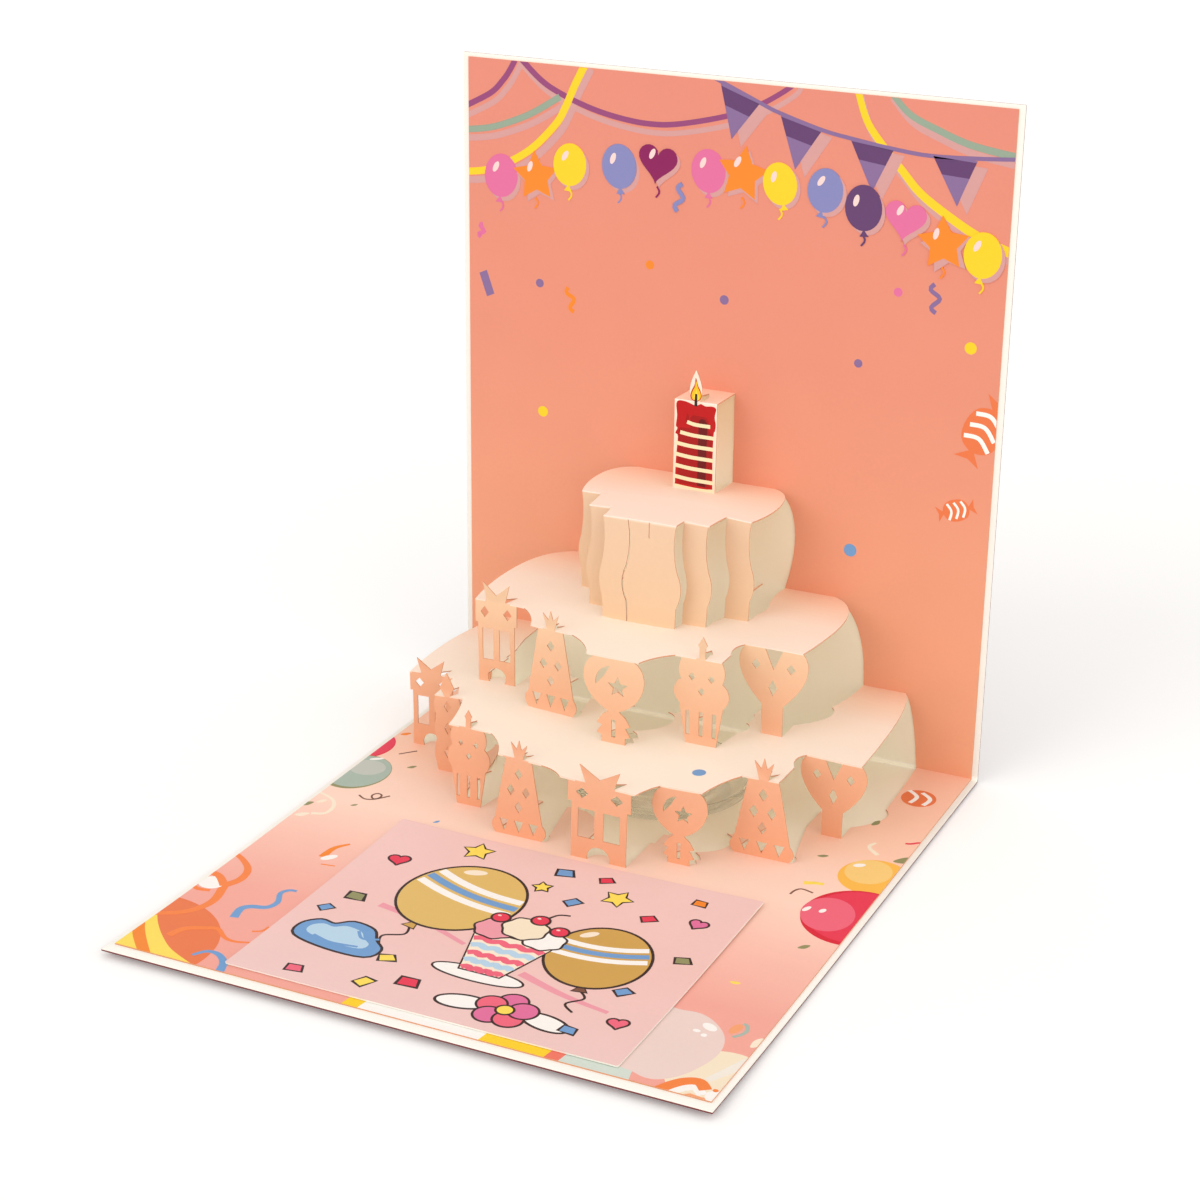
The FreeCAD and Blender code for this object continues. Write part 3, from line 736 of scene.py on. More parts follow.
@dataclass
class Studio:
    """The floor, the lamps, the white surroundings and the camera."""

    azimuth: float = 25.13
    elevation: float = 21.68
    roll: float = 0.71
    distance: float = 0.7038
    target: tuple[float, float, float] = (-0.00148, 0.02, 0.07053)
    lens: float = 77.5
    sensor: float = 36.0
    world_light: float = 0.83
    table_drop: float = 0.5 * MM
    table_colour: float = 0.9
    table_lift: float = 0.16

    def lamps(self) -> tuple["Lamp", ...]:
        """The broad key lamp on the left and the weaker one on the right."""
        return (Lamp("key", (-0.45, -0.9, 0.6), 0.62, 40.0), Lamp("fill", (0.85, -0.5, 0.42), 0.75, 60.0))

    def build(self) -> None:
        """Makes everything round the card."""
        self._camera()
        self._world()
        self._floor()
        for lamp in self.lamps():
            lamp.build()
        bpy.context.scene.view_settings.view_transform = "Standard"

    def _camera(self) -> None:
        """The camera that took the photograph."""
        turn, rise = math.radians(self.azimuth), math.radians(self.elevation)
        back = Vector((math.sin(turn) * math.cos(rise), -math.cos(turn) * math.cos(rise),
                       math.sin(rise)))
        data = bpy.data.cameras.new("camera")
        data.lens = self.lens
        data.sensor_width = self.sensor
        data.clip_start = 0.01
        camera = bpy.data.objects.new("camera", data)
        right = (-back).cross(Vector((0, 0, 1))).normalized()
        up = right.cross(-back)
        lean = Matrix.Rotation(math.radians(self.roll), 4, -back)
        axes = Matrix((right, up, back)).transposed().to_4x4()
        place = Matrix.Translation(Vector(self.target) + back * self.distance)
        camera.matrix_world = place @ lean.inverted() @ axes
        bpy.context.scene.collection.objects.link(camera)
        bpy.context.scene.camera = camera

    def _world(self) -> None:
        """Plain light from all round, seen as white."""
        world = bpy.data.worlds.new("surroundings")
        world.use_nodes = True
        world.node_tree.nodes.clear()
        wiring = Wiring(world.node_tree)
        light = wiring.add("ShaderNodeBackground", {
            "Color": srgb(255, 253, 250), "Strength": self.world_light})
        seen = wiring.add("ShaderNodeBackground", {"Color": (1.0, 1.0, 1.0, 1.0), "Strength": 1.0})
        ray = wiring.add("ShaderNodeLightPath")
        gloss = wiring.add("ShaderNodeMath", {
            0: ray.outputs["Is Camera Ray"], 1: ray.outputs["Is Glossy Ray"]}, operation="ADD")
        clear = wiring.add("ShaderNodeMath", {
            0: gloss.outputs[0], 1: ray.outputs["Is Transmission Ray"]},
            operation="ADD", use_clamp=True)
        mix = wiring.add("ShaderNodeMixShader", {
            0: clear.outputs[0], 1: light.outputs[0], 2: seen.outputs[0]})
        wiring.add("ShaderNodeOutputWorld", {"Surface": mix.outputs[0]})
        bpy.context.scene.world = world

    def _floor(self) -> None:
        """A plain white table that keeps the card's shadow."""
        size = 4.0
        mesh = bpy.data.meshes.new("floor")
        corners = [(-size, -size, 0), (size, -size, 0), (size, size, 0), (-size, size, 0)]
        mesh.from_pydata([(x, y, -self.table_drop) for x, y, _ in corners], [], [(0, 1, 2, 3)])
        floor = bpy.data.objects.new("floor", mesh)
        bpy.context.scene.collection.objects.link(floor)
        material = bpy.data.materials.new("white_table")
        material.use_nodes = True
        material.node_tree.nodes.clear()
        wiring = Wiring(material.node_tree)
        matte = wiring.add("ShaderNodeBsdfDiffuse", {"Color": (*[self.table_colour] * 3, 1.0)})
        ray = wiring.add("ShaderNodeLightPath")
        lift = wiring.add("ShaderNodeMath", {0: ray.outputs["Is Camera Ray"], 1: self.table_lift},
                          operation="MULTIPLY")
        glow = wiring.add("ShaderNodeEmission", {"Strength": lift.outputs[0]})
        both = wiring.add("ShaderNodeAddShader", {0: matte.outputs[0], 1: glow.outputs[0]})
        wiring.add("ShaderNodeOutputMaterial", {"Surface": both.outputs[0]})
        mesh.materials.append(material)
        floor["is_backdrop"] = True


def soft_step(value: float) -> float:
    """0 below 0, 1 above 1, and a smooth rise between them."""
    t = min(1.0, max(0.0, value))
    return t * t * (3 - 2 * t)


@dataclass(frozen=True)
class Fold:
    """One figure's fold line: where its front face stands, and from where to where it runs."""

    front: float
    left: float
    right: float
    level: float


@dataclass
class SheetPlan:
    """The flat planes of the folded sheet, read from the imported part."""

    thickness: float
    levels: list[float]
    fronts: list[float]
    folds: list[Fold]

    @property
    def gutter(self) -> Vector:
        """Where the printed faces of the two halves meet."""
        return Vector((0, max(self.fronts), min(self.levels)))

    @property
    def candle(self) -> Fold:
        """The fold line at the candle's top."""
        return max(self.folds, key=lambda fold: fold.front)

    def level_at(self, z: float, below: float = 0.0) -> bool:
        """Whether a height is a level face's, or lies below one by a given distance."""
        return any(abs(z - level + below) < 0.02 * MM for level in self.levels)

    def front_at(self, y: float, behind: float = 0.0) -> bool:
        """Whether a depth is a front face's, or lies behind one by a given distance."""
        return any(abs(y - front - behind) < 0.02 * MM for front in self.fronts)


class SheetReader:
    """Finds the sheet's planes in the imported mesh."""

    LEAST_AREA = 80 * MM * MM

    def __init__(self, bm: bmesh.types.BMesh, thickness: float) -> None:
        """Takes the sheet's mesh and the paper's thickness."""
        self.bm = bm
        self.thickness = thickness

    def _planes(self, axis: int, sign: int) -> list[float]:
        """The places of the large faces that look along one axis."""
        areas: dict[int, float] = {}
        for face in self.bm.faces:
            if face.normal[axis] * sign > 0.99:
                place = round(face.verts[0].co[axis] / (0.01 * MM))
                areas[place] = areas.get(place, 0.0) + face.calc_area()
        return sorted(place * 0.01 * MM for place, area in areas.items() if area > self.LEAST_AREA)

    def read(self) -> SheetPlan:
        """The sheet's plan.

        Returns:
            Its levels, its fronts and its fold lines.
        """
        levels, fronts = self._planes(2, 1), self._planes(1, -1)
        folds = []
        gutter = max(fronts)
        for front in fronts:
            if front > gutter - MM:
                continue
            points = [vert.co for vert in self.bm.verts if abs(vert.co.y - front) < 0.02 * MM]
            for level in reversed(levels):
                ends = [point.x for point in points if abs(point.z - level) < 0.02 * MM]
                if len(ends) > 1:
                    folds.append(Fold(front, min(ends), max(ends), level))
                    break
        return SheetPlan(self.thickness, levels, fronts, folds)


@dataclass(frozen=True)
class PaperSway:
    """How the free paper bows and sags a little away from the halves that are glued down."""

    gutter: Vector
    reach: float = 16 * MM
    sag: float = 1.5 * MM
    lean: float = 1.1 * MM
    scale: float = 46 * MM

    def at(self, place: Vector) -> Vector:
        """How far the paper at a place is moved.

        Args:
            place: a point of the flat and square sheet.

        Returns:
            Its shift.
        """
        free = soft_step((self.gutter.y - place.y) / self.reach)
        free *= soft_step((place.z - self.gutter.z) / self.reach)
        wave = noise.noise_vector(place / self.scale + Vector((3.7, 1.9, 8.2)))
        return free * Vector((wave.x * self.lean * 0.25, wave.y * self.lean, wave.z * self.sag))


@dataclass(frozen=True)
class FrontBow:
    """How the half that lies flat lifts off the table towards its front edge."""

    start: float = -30 * MM
    reach: float = 70 * MM
    rise: float = 1.3 * MM

    def at(self, place: Vector) -> Vector:
        """How far a place on the base is lifted.

        Args:
            place: a point of the flat card.

        Returns:
            Its shift.
        """
        share = max(0.0, (self.start - place.y) / self.reach)
        return Vector((0, 0, self.rise * share * share))


BOW = FrontBow()


class Region(Enum):
    """The kinds of face that the printed sheet has, in the order of their material slots."""

    BACK = 0
    BASE = 1
    TOP = 2
    FIGURE = 3
    BARE = 4
    CUT = 5
    # Strips along the folds, which get a lighter colour: partly the print cracked open at the fold, partly a
    # painted highlight.
    CREASE = 6


@dataclass
class PopupSheet:
    """The printed sheet with the whole cake folded out of it."""

    effects: PaperEffects
    thickness: float = 0.35 * MM
    cell: float = 4 * MM
    plan: SheetPlan = field(init=False)
    sway: PaperSway = field(init=False)

    def build(self) -> bpy.types.Object:
        """The sheet as one closed mesh, with a finish on each kind of face.

        Returns:
            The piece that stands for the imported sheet.
        """
        bm = merged_copy("popup_sheet")
        self.plan = SheetReader(bm, self.thickness).read()
        self.sway = PaperSway(self.plan.gutter)
        self._cut_into_cells(bm)
        regions = {face: self._region(face) for face in bm.faces}
        for face, region in regions.items():
            face.material_index = region.value
            face.smooth = True
        for vert in bm.verts:
            vert.co += self.sway.at(vert.co) + BOW.at(vert.co)
        bm.normal_update()
        for edge in bm.edges:
            edge.smooth = edge.calc_face_angle(0.0) < math.radians(30) or all(
                regions[face] is Region.CREASE for face in edge.link_faces)
        piece = plain_piece("popup_sheet_paper", bm)
        for finish in (CORAL_BACK, CORAL_BASE, ICING, FIGURES, BARE_PAPER, CUT_EDGE, CREASE):
            piece.data.materials.append(finish.build(self.effects))
        return piece

    def _cut_into_cells(self, bm: bmesh.types.BMesh) -> None:
        """Cuts the faces on a square grid, and beside each fold line, so that they can bend."""
        low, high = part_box("popup_sheet")
        cuts: list[tuple[int, float]] = []
        for axis in range(3):
            first, last = math.ceil(low[axis] / self.cell), math.floor(high[axis] / self.cell)
            cuts += [(axis, self.cell * step) for step in range(first, last + 1)]
        cuts += [(2, level - self.thickness) for level in self.plan.levels[1:]]
        cuts += [(1, fold.front + self.thickness) for fold in self.plan.folds]
        for axis, place in cuts:
            if low[axis] < place < high[axis]:
                slice_through(bm, axis, place)

    def _region(self, face: bmesh.types.BMFace) -> Region:
        """The kind of one face, from where it lies and which way it looks."""
        plan, normal, centre = self.plan, face.normal, face.calc_center_median()
        if abs(normal.z) > 0.99:
            if plan.level_at(centre.z, self.thickness) and normal.z < 0:
                return Region.BARE
            if plan.level_at(centre.z) and normal.z > 0:
                if abs(centre.z - plan.gutter.z) < 0.02 * MM:
                    return Region.BASE
                return Region.CREASE if self._on_top_of_fold(centre) else Region.TOP
            return Region.CUT
        if abs(normal.y) > 0.99:
            if plan.front_at(centre.y, self.thickness) and normal.y > 0:
                return Region.BARE
            if plan.front_at(centre.y) and normal.y < 0:
                if abs(centre.y - plan.gutter.y) < 0.02 * MM:
                    return Region.BACK
                return Region.CREASE if self._in_front_of_fold(centre) else Region.FIGURE
        return Region.CUT

    def _on_top_of_fold(self, centre: Vector) -> bool:
        """Whether a level face lies on a fold's own thickness."""
        if centre.y > self.plan.gutter.y:
            return True
        return any(fold.front < centre.y < fold.front + self.thickness
                   and fold.left < centre.x < fold.right and abs(fold.level - centre.z) < 0.1 * MM
                   for fold in self.plan.folds)

    def _in_front_of_fold(self, centre: Vector) -> bool:
        """Whether a standing face lies beside its own fold line."""
        return any(abs(fold.front - centre.y) < 0.1 * MM
                   and fold.level - self.thickness < centre.z < fold.level
                   for fold in self.plan.folds)


def merged_copy(node: str) -> bmesh.types.BMesh:
    """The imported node's mesh with its doubles merged and its flat faces whole.

    Args:
        node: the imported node's name.

    Returns:
        An editable mesh.
    """
    bm = bmesh.new()
    bm.from_mesh(bpy.data.objects[node].data)
    bmesh.ops.remove_doubles(bm, verts=bm.verts[:], dist=1e-6)
    bmesh.ops.dissolve_limit(bm, angle_limit=math.radians(0.4), verts=bm.verts[:], edges=bm.edges[:])
    bm.normal_update()
    return bm


def slice_through(bm: bmesh.types.BMesh, axis: int, place: float) -> None:
    """Cuts every face that a plane square to an axis crosses, and keeps both sides.

    Args:
        bm: the mesh.
        axis: 0, 1 or 2 for X, Y or Z.
        place: where the plane lies on that axis.
    """
    normal = Vector([float(axis == index) for index in range(3)])
    bmesh.ops.bisect_plane(bm, geom=bm.verts[:] + bm.edges[:] + bm.faces[:],
                           plane_co=normal * place, plane_no=normal, dist=1e-7)


def plain_piece(name: str, bm: bmesh.types.BMesh) -> bpy.types.Object:
    """An object with a finished mesh, at the origin.

    Args:
        name: the piece's name.
        bm: its mesh, which is freed.

    Returns:
        The object.
    """
    mesh = bpy.data.meshes.new(name)
    bm.to_mesh(mesh)
    bm.free()
    piece = bpy.data.objects.new(name, mesh)
    bpy.context.scene.collection.objects.link(piece)
    return piece


def share_out(pieces: list[bpy.types.Object], slot: str, *nodes: str) -> None:
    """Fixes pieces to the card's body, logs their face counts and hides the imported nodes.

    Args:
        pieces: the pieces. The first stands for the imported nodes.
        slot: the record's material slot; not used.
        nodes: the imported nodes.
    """
    for piece in pieces:
        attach(piece, BODY)
        log.info("%s: %d faces", piece.name, len(piece.data.polygons))
    if nodes:
        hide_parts(*nodes)


@dataclass
class Cover:
    """The folded board, red outside, with rubbed edges, and cream inside; that cream, and the inside's darkening
    towards the top, are painted warm bounce light and shade.
    """

    effects: PaperEffects
    thickness: float = 0.7 * MM
    # How deep the red outer layer reaches up the board's edges: deeper than the real layer, so that its dark
    # band also paints the shade under the lifted front edge.
    film_and_edge_shade: float = 0.45 * MM
    rounding: float = 0.1 * MM

    def build(self) -> bpy.types.Object:
        """The cover as one closed mesh.

        Returns:
            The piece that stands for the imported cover.
        """
        bm = merged_copy("cover")
        low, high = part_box("cover")
        rim = [edge for edge in bm.edges if self._is_rim(edge, low, high)]
        bmesh.ops.bevel(bm, geom=rim, offset=self.rounding, segments=2, profile=0.5,
                        affect="EDGES", clamp_overlap=True)
        sheet_low, sheet_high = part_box("popup_sheet")
        cuts = [(2, self.film_and_edge_shade), (1, high.y - self.film_and_edge_shade), (0, sheet_low.x), (0, sheet_high.x),
                (1, sheet_low.y), (2, sheet_high.z)]
        cuts += [(1, BOW.start - BOW.reach * step / 8) for step in range(8)]
        for axis, place in cuts:
            slice_through(bm, axis, place)
        bm.normal_update()
        for face in bm.faces:
            face.material_index = self._layer(face, high, sheet_low, sheet_high)
            face.smooth = True
        for vert in bm.verts:
            vert.co += BOW.at(vert.co)
        for edge in bm.edges:
            edge.smooth = edge.calc_face_angle(0.0) < math.radians(50)
        piece = plain_piece("cover_board", bm)
        for finish in (BOARD_INSIDE, BOARD_OUTSIDE, BOARD_EDGE, BOARD_BORDER):
            piece.data.materials.append(finish.build(self.effects))
        return piece

    @staticmethod
    def _is_rim(edge: bmesh.types.BMEdge, low: Vector, high: Vector) -> bool:
        """Whether an edge lies on the outer rim of the opened board."""
        a, b = (vert.co for vert in edge.verts)
        if edge.calc_face_angle(0.0) < math.radians(60) or not edge.is_convex:
            return False
        sides = [all(abs(point.x - end) < 1e-6 for point in (a, b)) for end in (low.x, high.x)]
        front = all(abs(point.y - low.y) < 1e-6 for point in (a, b))
        top = all(abs(point.z - high.z) < 1e-6 for point in (a, b))
        return any(sides) or front or top

    def _layer(self, face: bmesh.types.BMFace, high: Vector, sheet_low: Vector,
               sheet_high: Vector) -> int:
        """Which layer a face belongs to: 0 inside, 1 the red outer layer, drawn deep enough on the edges that
        its dark band also paints the shade under the front edge, 2 the core, 3 the border.
        """
        centre = face.calc_center_median()
        in_back = centre.y > high.y - self.thickness - 0.01 * MM and centre.z > self.thickness
        outward = high.y - centre.y if in_back else centre.z
        if outward < self.film_and_edge_shade or (centre.z < 2 * MM and high.y - centre.y < self.film_and_edge_shade):
            return 1
        if abs(face.normal.x) > 0.6 or (face.normal.y < -0.6 and not in_back):
            return 2
        if in_back and face.normal.z > 0.6:
            return 2
        under_sheet = (sheet_low.x < centre.x < sheet_high.x and centre.y > sheet_low.y
                       and centre.z < sheet_high.z)
        return 0 if under_sheet else 3


@dataclass
class PictureCard:
    """The loose card, which curls up a little at its corners."""

    effects: PaperEffects
    curl: float = 0.6 * MM
    cell: float = 4 * MM

    @property
    def middle(self) -> Vector:
        """The middle of the card's printed face."""
        low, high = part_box("picture_card")
        return Vector(((low.x + high.x) / 2, (low.y + high.y) / 2, high.z))

    def lift_at(self, place: Vector) -> Vector:
        """How far the card's curl lifts a place on it."""
        low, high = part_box("picture_card")
        across = (place.x - self.middle.x) / ((high.x - low.x) / 2)
        along = (place.y - self.middle.y) / ((high.y - low.y) / 2)
        corner = abs(across) ** 2.5 * (0.55 + 0.45 * along) + 0.25 * abs(along) ** 3
        return Vector((0, 0, self.curl * max(0.0, corner))) + BOW.at(place)

    def build(self) -> bpy.types.Object:
        """The card as one closed mesh.

        Returns:
            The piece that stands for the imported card.
        """
        bm = merged_copy("picture_card")
        low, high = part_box("picture_card")
        for axis in (0, 1):
            for step in range(math.ceil(low[axis] / self.cell), math.floor(high[axis] / self.cell) + 1):
                slice_through(bm, axis, step * self.cell)
        for face in bm.faces:
            face.material_index = 0 if face.normal.z > 0.9 else 1
            face.smooth = True
        for vert in bm.verts:
            vert.co += self.lift_at(vert.co)
        bm.normal_update()
        for edge in bm.edges:
            edge.smooth = edge.calc_face_angle(0.0) < math.radians(30)
        piece = plain_piece("picture_card_paper", bm)
        for finish in (CARD_FACE, CARD_BACK):
            piece.data.materials.append(finish.build(self.effects))
        return piece


@dataclass
class ClearDisc:
    """The clear moulding under the cake, turned from its section."""

    effects: PaperEffects
    segments: int = 128
    wall: float = 1.0 * MM
    floor: float = 0.8 * MM
    rounding: float = 0.35 * MM
    ring: float = 18.5 * MM
    boss: float = 8.5 * MM
    rise: float = 0.8 * MM
    lift: float = 0.03 * MM

    def section(self, radius: float, height: float) -> Outline:
        """The disc's section, from the middle of its underside round to the middle of its top.

        Args:
            radius: the disc's radius.
            height: the rim's height.

        Returns:
            The section's points, as (distance from the axis, height).
        """
        r, inner = self.rounding, radius - self.wall
        points = [(0.0, 0.0), (radius - r, 0.0)]
        points += [(radius - r + r * math.sin(a), r - r * math.cos(a))
                   for a in (math.pi / 6, math.pi / 3, math.pi / 2)]
        crown = self.wall / 2
        points += [(inner + crown + crown * math.cos(a), height - crown + crown * math.sin(a))
                   for a in (step * math.pi / 8 for step in range(9))]
        points += [(inner - r + r * math.cos(a), self.floor + r - r * math.sin(a))
                   for a in (0.0, math.pi / 6, math.pi / 3, math.pi / 2)]
        points += self._swell(self.ring, 2)
        points += [point for point in self._swell(self.boss, 4) if point[0] >= self.boss]
        points.append((0.0, self.floor + self.rise))
        return points

    def _swell(self, middle: float, width: float) -> Outline:
        """A rounded ring on the disc's floor, from its outer foot to its inner one."""
        half = width * self.rise
        return [(middle + half * math.cos(a), self.floor + self.rise * math.sin(a))
                for a in (step * math.pi / 8 for step in range(9))]

    def build(self) -> bpy.types.Object:
        """The disc as one closed mesh.

        Returns:
            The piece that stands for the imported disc.
        """
        low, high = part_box("clear_disc")
        centre = Vector(((low.x + high.x) / 2, (low.y + high.y) / 2, low.z + self.lift))
        bm = bmesh.new()
        rings = []
        for distance, rise in self.section((high.x - low.x) / 2, high.z - low.z - self.lift):
            if distance == 0.0:
                rings.append([bm.verts.new(centre + Vector((0, 0, rise)))])
                continue
            ring = []
            for step in range(self.segments):
                angle = 2 * math.pi * step / self.segments
                around = Vector((math.cos(angle), math.sin(angle), 0)) * distance
                ring.append(bm.verts.new(centre + around + Vector((0, 0, rise))))
            rings.append(ring)
        for inner, outer in zip(rings, rings[1:]):
            for step in range(self.segments):
                after = (step + 1) % self.segments
                corners = [inner[step % len(inner)], inner[after % len(inner)],
                           outer[after % len(outer)], outer[step % len(outer)]]
                unique = list(dict.fromkeys(corners))
                bm.faces.new(unique)
        bmesh.ops.recalc_face_normals(bm, faces=bm.faces[:])
        for face in bm.faces:
            face.smooth = True
        piece = plain_piece("clear_disc_moulding", bm)
        piece.data.materials.append(PLASTIC.build(self.effects))
        return piece


@dataclass
class Surface:
    """A paper face that carries artwork: its origin, and the ways across, up and outwards."""

    origin: Vector
    across: Vector
    up: Vector
    bend: Callable[[Vector], Vector] | None = None
    cell: float = 4 * MM
    window: tuple[float, float, float, float] | None = None

    def matrix(self) -> Matrix:
        """From the artwork's own millimetres to the card's metres."""
        out = self.across.cross(self.up)
        axes = Matrix((self.across * MM, self.up * MM, out * MM)).transposed().to_4x4()
        return Matrix.Translation(self.origin) @ axes

    def settle(self, piece: bpy.types.Object) -> bpy.types.Object:
        """Trims a printed piece to the paper, and lays it in its place.

        Args:
            piece: the print, in the artwork's millimetres.

        Returns:
            The same piece, at the origin, with its place in its mesh.
        """
        bm = bmesh.new()
        bm.from_mesh(piece.data)
        if self.window:
            left, bottom, right, top = self.window
            for place, normal in (((left, 0, 0), (-1, 0, 0)), ((right, 0, 0), (1, 0, 0)),
                                  ((0, bottom, 0), (0, -1, 0)), ((0, top, 0), (0, 1, 0))):
                found = bmesh.ops.bisect_plane(
                    bm, geom=bm.verts[:] + bm.edges[:] + bm.faces[:], plane_co=place,
                    plane_no=normal, dist=1e-5, clear_outer=True)
                rim = [item for item in found["geom_cut"] if isinstance(item, bmesh.types.BMEdge)
                       and item.is_boundary]
                if rim:
                    self._step_in(bmesh.ops.holes_fill(bm, edges=rim, sides=0)["faces"], Vector(normal))
        bm.transform(self.matrix())
        if self.bend:
            self._cut_into_cells(bm)
            for vert in bm.verts:
                vert.co += self.bend(vert.co)
        bmesh.ops.recalc_face_normals(bm, faces=bm.faces[:])
        for face in bm.faces:
            face.smooth = False
        bm.to_mesh(piece.data)
        bm.free()
        return piece

    @staticmethod
    def _step_in(ends: list[bmesh.types.BMFace], outwards: Vector) -> None:
        """Draws each trimmed end in by a share of its own level, so that no two ends lie on each other.

        Args:
            ends: the faces that close the trimmed shapes.
            outwards: the way off the paper.
        """
        for end in ends:
            level = max(vert.co.z for vert in end.verts)
            for vert in end.verts:
                vert.co -= outwards * level * 0.5

    def _cut_into_cells(self, bm: bmesh.types.BMesh) -> None:
        """Cuts the print on a square grid, so that it bends as its paper does."""
        for axis in (0, 1, 2):
            places = [vert.co[axis] for vert in bm.verts]
            first, last = math.ceil(min(places) / self.cell), math.floor(max(places) / self.cell)
            for step in range(first, last + 1):
                slice_through(bm, axis, step * self.cell)


@dataclass
class Artwork:
    """What is printed on one surface. Each shape lies a little over the ones drawn before it."""

    name: str
    surface: Surface
    trees: PrintTrees
    ink: bpy.types.Material
    fields: list[tuple[Outline, Ink, float]] = field(default_factory=list)
    paths: list[tuple[Outline, Ink, float, float, float]] = field(default_factory=list)
    bits: dict[str, list[tuple[float, float, float, float, Ink, float]]] = field(default_factory=dict)
    pieces: list[bpy.types.Object] = field(default_factory=list)
    boxes: list[tuple[tuple[float, ...], float]] = field(default_factory=list)

    def level_over(self, outline: Outline, margin: float = 0.0) -> float:
        """The level of a new shape, over all that it may cover.

        Args:
            outline: the shape, or the path that it follows.
            margin: how far it reaches beyond that.

        Returns:
            Its height over the paper, in millimetres.
        """
        across, up = zip(*outline)
        left, low, right, high = min(across) - margin, min(up) - margin, max(across) + margin, max(up) + margin
        covered = [level for (l, b, r, t), level in self.boxes
                   if left < r and l < right and low < t and b < high]
        level = max(covered, default=FIRST_LEVEL) + LEVEL_STEP
        self.boxes.append(((left, low, right, high), level))
        return level

    def fill(self, outline: Outline, ink: Ink) -> None:
        """Adds a field of one ink."""
        self.fields.append((outline, ink, self.level_over(outline)))

    def lined(self, outline: Outline, ink: Ink, line: float = 0.65) -> None:
        """Adds a field with a dark line round it."""
        self.fill(grown(outline, line), Ink.COCOA)
        self.fill(outline, ink)

    def band(self, path: Outline, ink: Ink, start: float, end: float | None = None) -> None:
        """Adds a band along a path, whose width runs from start to end."""
        level = self.level_over(path, start / 2)
        self.paths.append((path, ink, level, start, start if end is None else end))

    def bit(self, motif: str, u: float, v: float, size: float, turn: float, ink: Ink) -> None:
        """Adds one copy of a small motif."""
        level = self.level_over([(u, v)], size * 0.6)
        self.bits.setdefault(motif, []).append((u, v, size, turn, ink, level))

    def build(self, motifs: dict[str, bpy.types.Object]) -> list[bpy.types.Object]:
        """Builds everything that was added.

        Args:
            motifs: the small motifs by name.

        Returns:
            The printed pieces, in their place.
        """
        if self.fields:
            self.pieces.append(slab("%s_fields" % self.name, self.fields, self.ink))
        if self.paths:
            self.pieces.append(self._bands())
        for motif, places in self.bits.items():
            self.pieces.append(self._bits(motif, motifs[motif], places))
        return [self.surface.settle(piece) for piece in self.pieces]

    def source(self, name: str, points: list[tuple[float, float, float]], edges: list[tuple[int, int]],
               values: dict[str, list[float]], inks: list[float]) -> bpy.types.Object:
        """The points and edges that a tree starts from.

        Args:
            name: the source's name.
            points: its points.
            edges: its edges.
            values: each named number on the points.
            inks: the points' colours.

        Returns:
            The source.
        """
        mesh = bpy.data.meshes.new(name)
        mesh.from_pydata(points, edges, [])
        for label, numbers in values.items():
            mesh.attributes.new(label, "FLOAT", "POINT").data.foreach_set("value", numbers)
        if inks:
            mesh.attributes.new(INK_ATTRIBUTE, "FLOAT_COLOR", "POINT").data.foreach_set("color", inks)
        source = bpy.data.objects.new(name, mesh)
        bpy.context.scene.collection.objects.link(source)
        return source

    def _bands(self) -> bpy.types.Object:
        """The bands, laid by their tree along their paths."""
        points, edges, inks = [], [], []
        values = {WIDTH_ATTRIBUTE: [], LEVEL_ATTRIBUTE: []}
        for path, ink, level, start, end in self.paths:
            first = len(points)
            for index, (u, v) in enumerate(path):
                points.append((u, v, level - SINK / 2))
                values[WIDTH_ATTRIBUTE].append(start + (end - start) * index / (len(path) - 1))
                values[LEVEL_ATTRIBUTE].append(level - SINK / 2)
                inks.extend(ink.value)
            edges += [(first + index, first + index + 1) for index in range(len(path) - 1)]
        source = self.source("paths", points, edges, values, inks)
        return run_tree(source, self.trees.bands, {
            "Step": 0.7, "Thickness": SINK, "Finish": self.ink}, "%s_bands" % self.name)

    def _bits(self, name: str, motif: bpy.types.Object,
              places: list[tuple[float, float, float, float, Ink, float]]) -> bpy.types.Object:
        """The copies of one motif, laid by their tree."""
        points = [(u, v, level) for u, v, _, _, _, level in places]
        values = {SIZE_ATTRIBUTE: [place[2] for place in places],
                  TURN_ATTRIBUTE: [math.radians(place[3]) for place in places]}
        inks = [share for *_, ink, _ in places for share in ink.value]
        return run_tree(self.source(name, points, [], values, inks), self.trees.bits, {
            "Motif": motif, "Turn Range": 0.08, "Seed": 7, "Finish": self.ink},
            "%s_%s" % (self.name, name))


def slab(name: str, fields: list[tuple[Outline, Ink | None, float]], ink: bpy.types.Material | None,
         sink: float = FIRST_LEVEL) -> bpy.types.Object:
    """Thin closed shapes, one for each outline, in the artwork's millimetres.

    Args:
        name: the piece's name.
        fields: each outline with its ink and its level. With no ink, the shape gets its
            colour where it is placed.
        ink: the material, if there is one.
        sink: how far under the paper's face the shapes reach.

    Returns:
        The piece.
    """
    bm = bmesh.new()
    inked = any(colour for _, colour, _ in fields)
    layer = bm.verts.layers.float_color.new(INK_ATTRIBUTE) if inked else None
    for outline, colour, level in fields:
        top = [bm.verts.new((u, v, level)) for u, v in outline]
        under = [bm.verts.new((u, v, -sink)) for u, v in outline]
        if layer:
            for vert in top + under:
                vert[layer] = colour.value
        bm.faces.new(top)
        bm.faces.new(list(reversed(under)))
        for index in range(len(top)):
            after = (index + 1) % len(top)
            bm.faces.new((top[index], under[index], under[after], top[after]))
    bmesh.ops.recalc_face_normals(bm, faces=bm.faces[:])
    piece = plain_piece(name, bm)
    if ink:
        piece.data.materials.append(ink)
    return piece


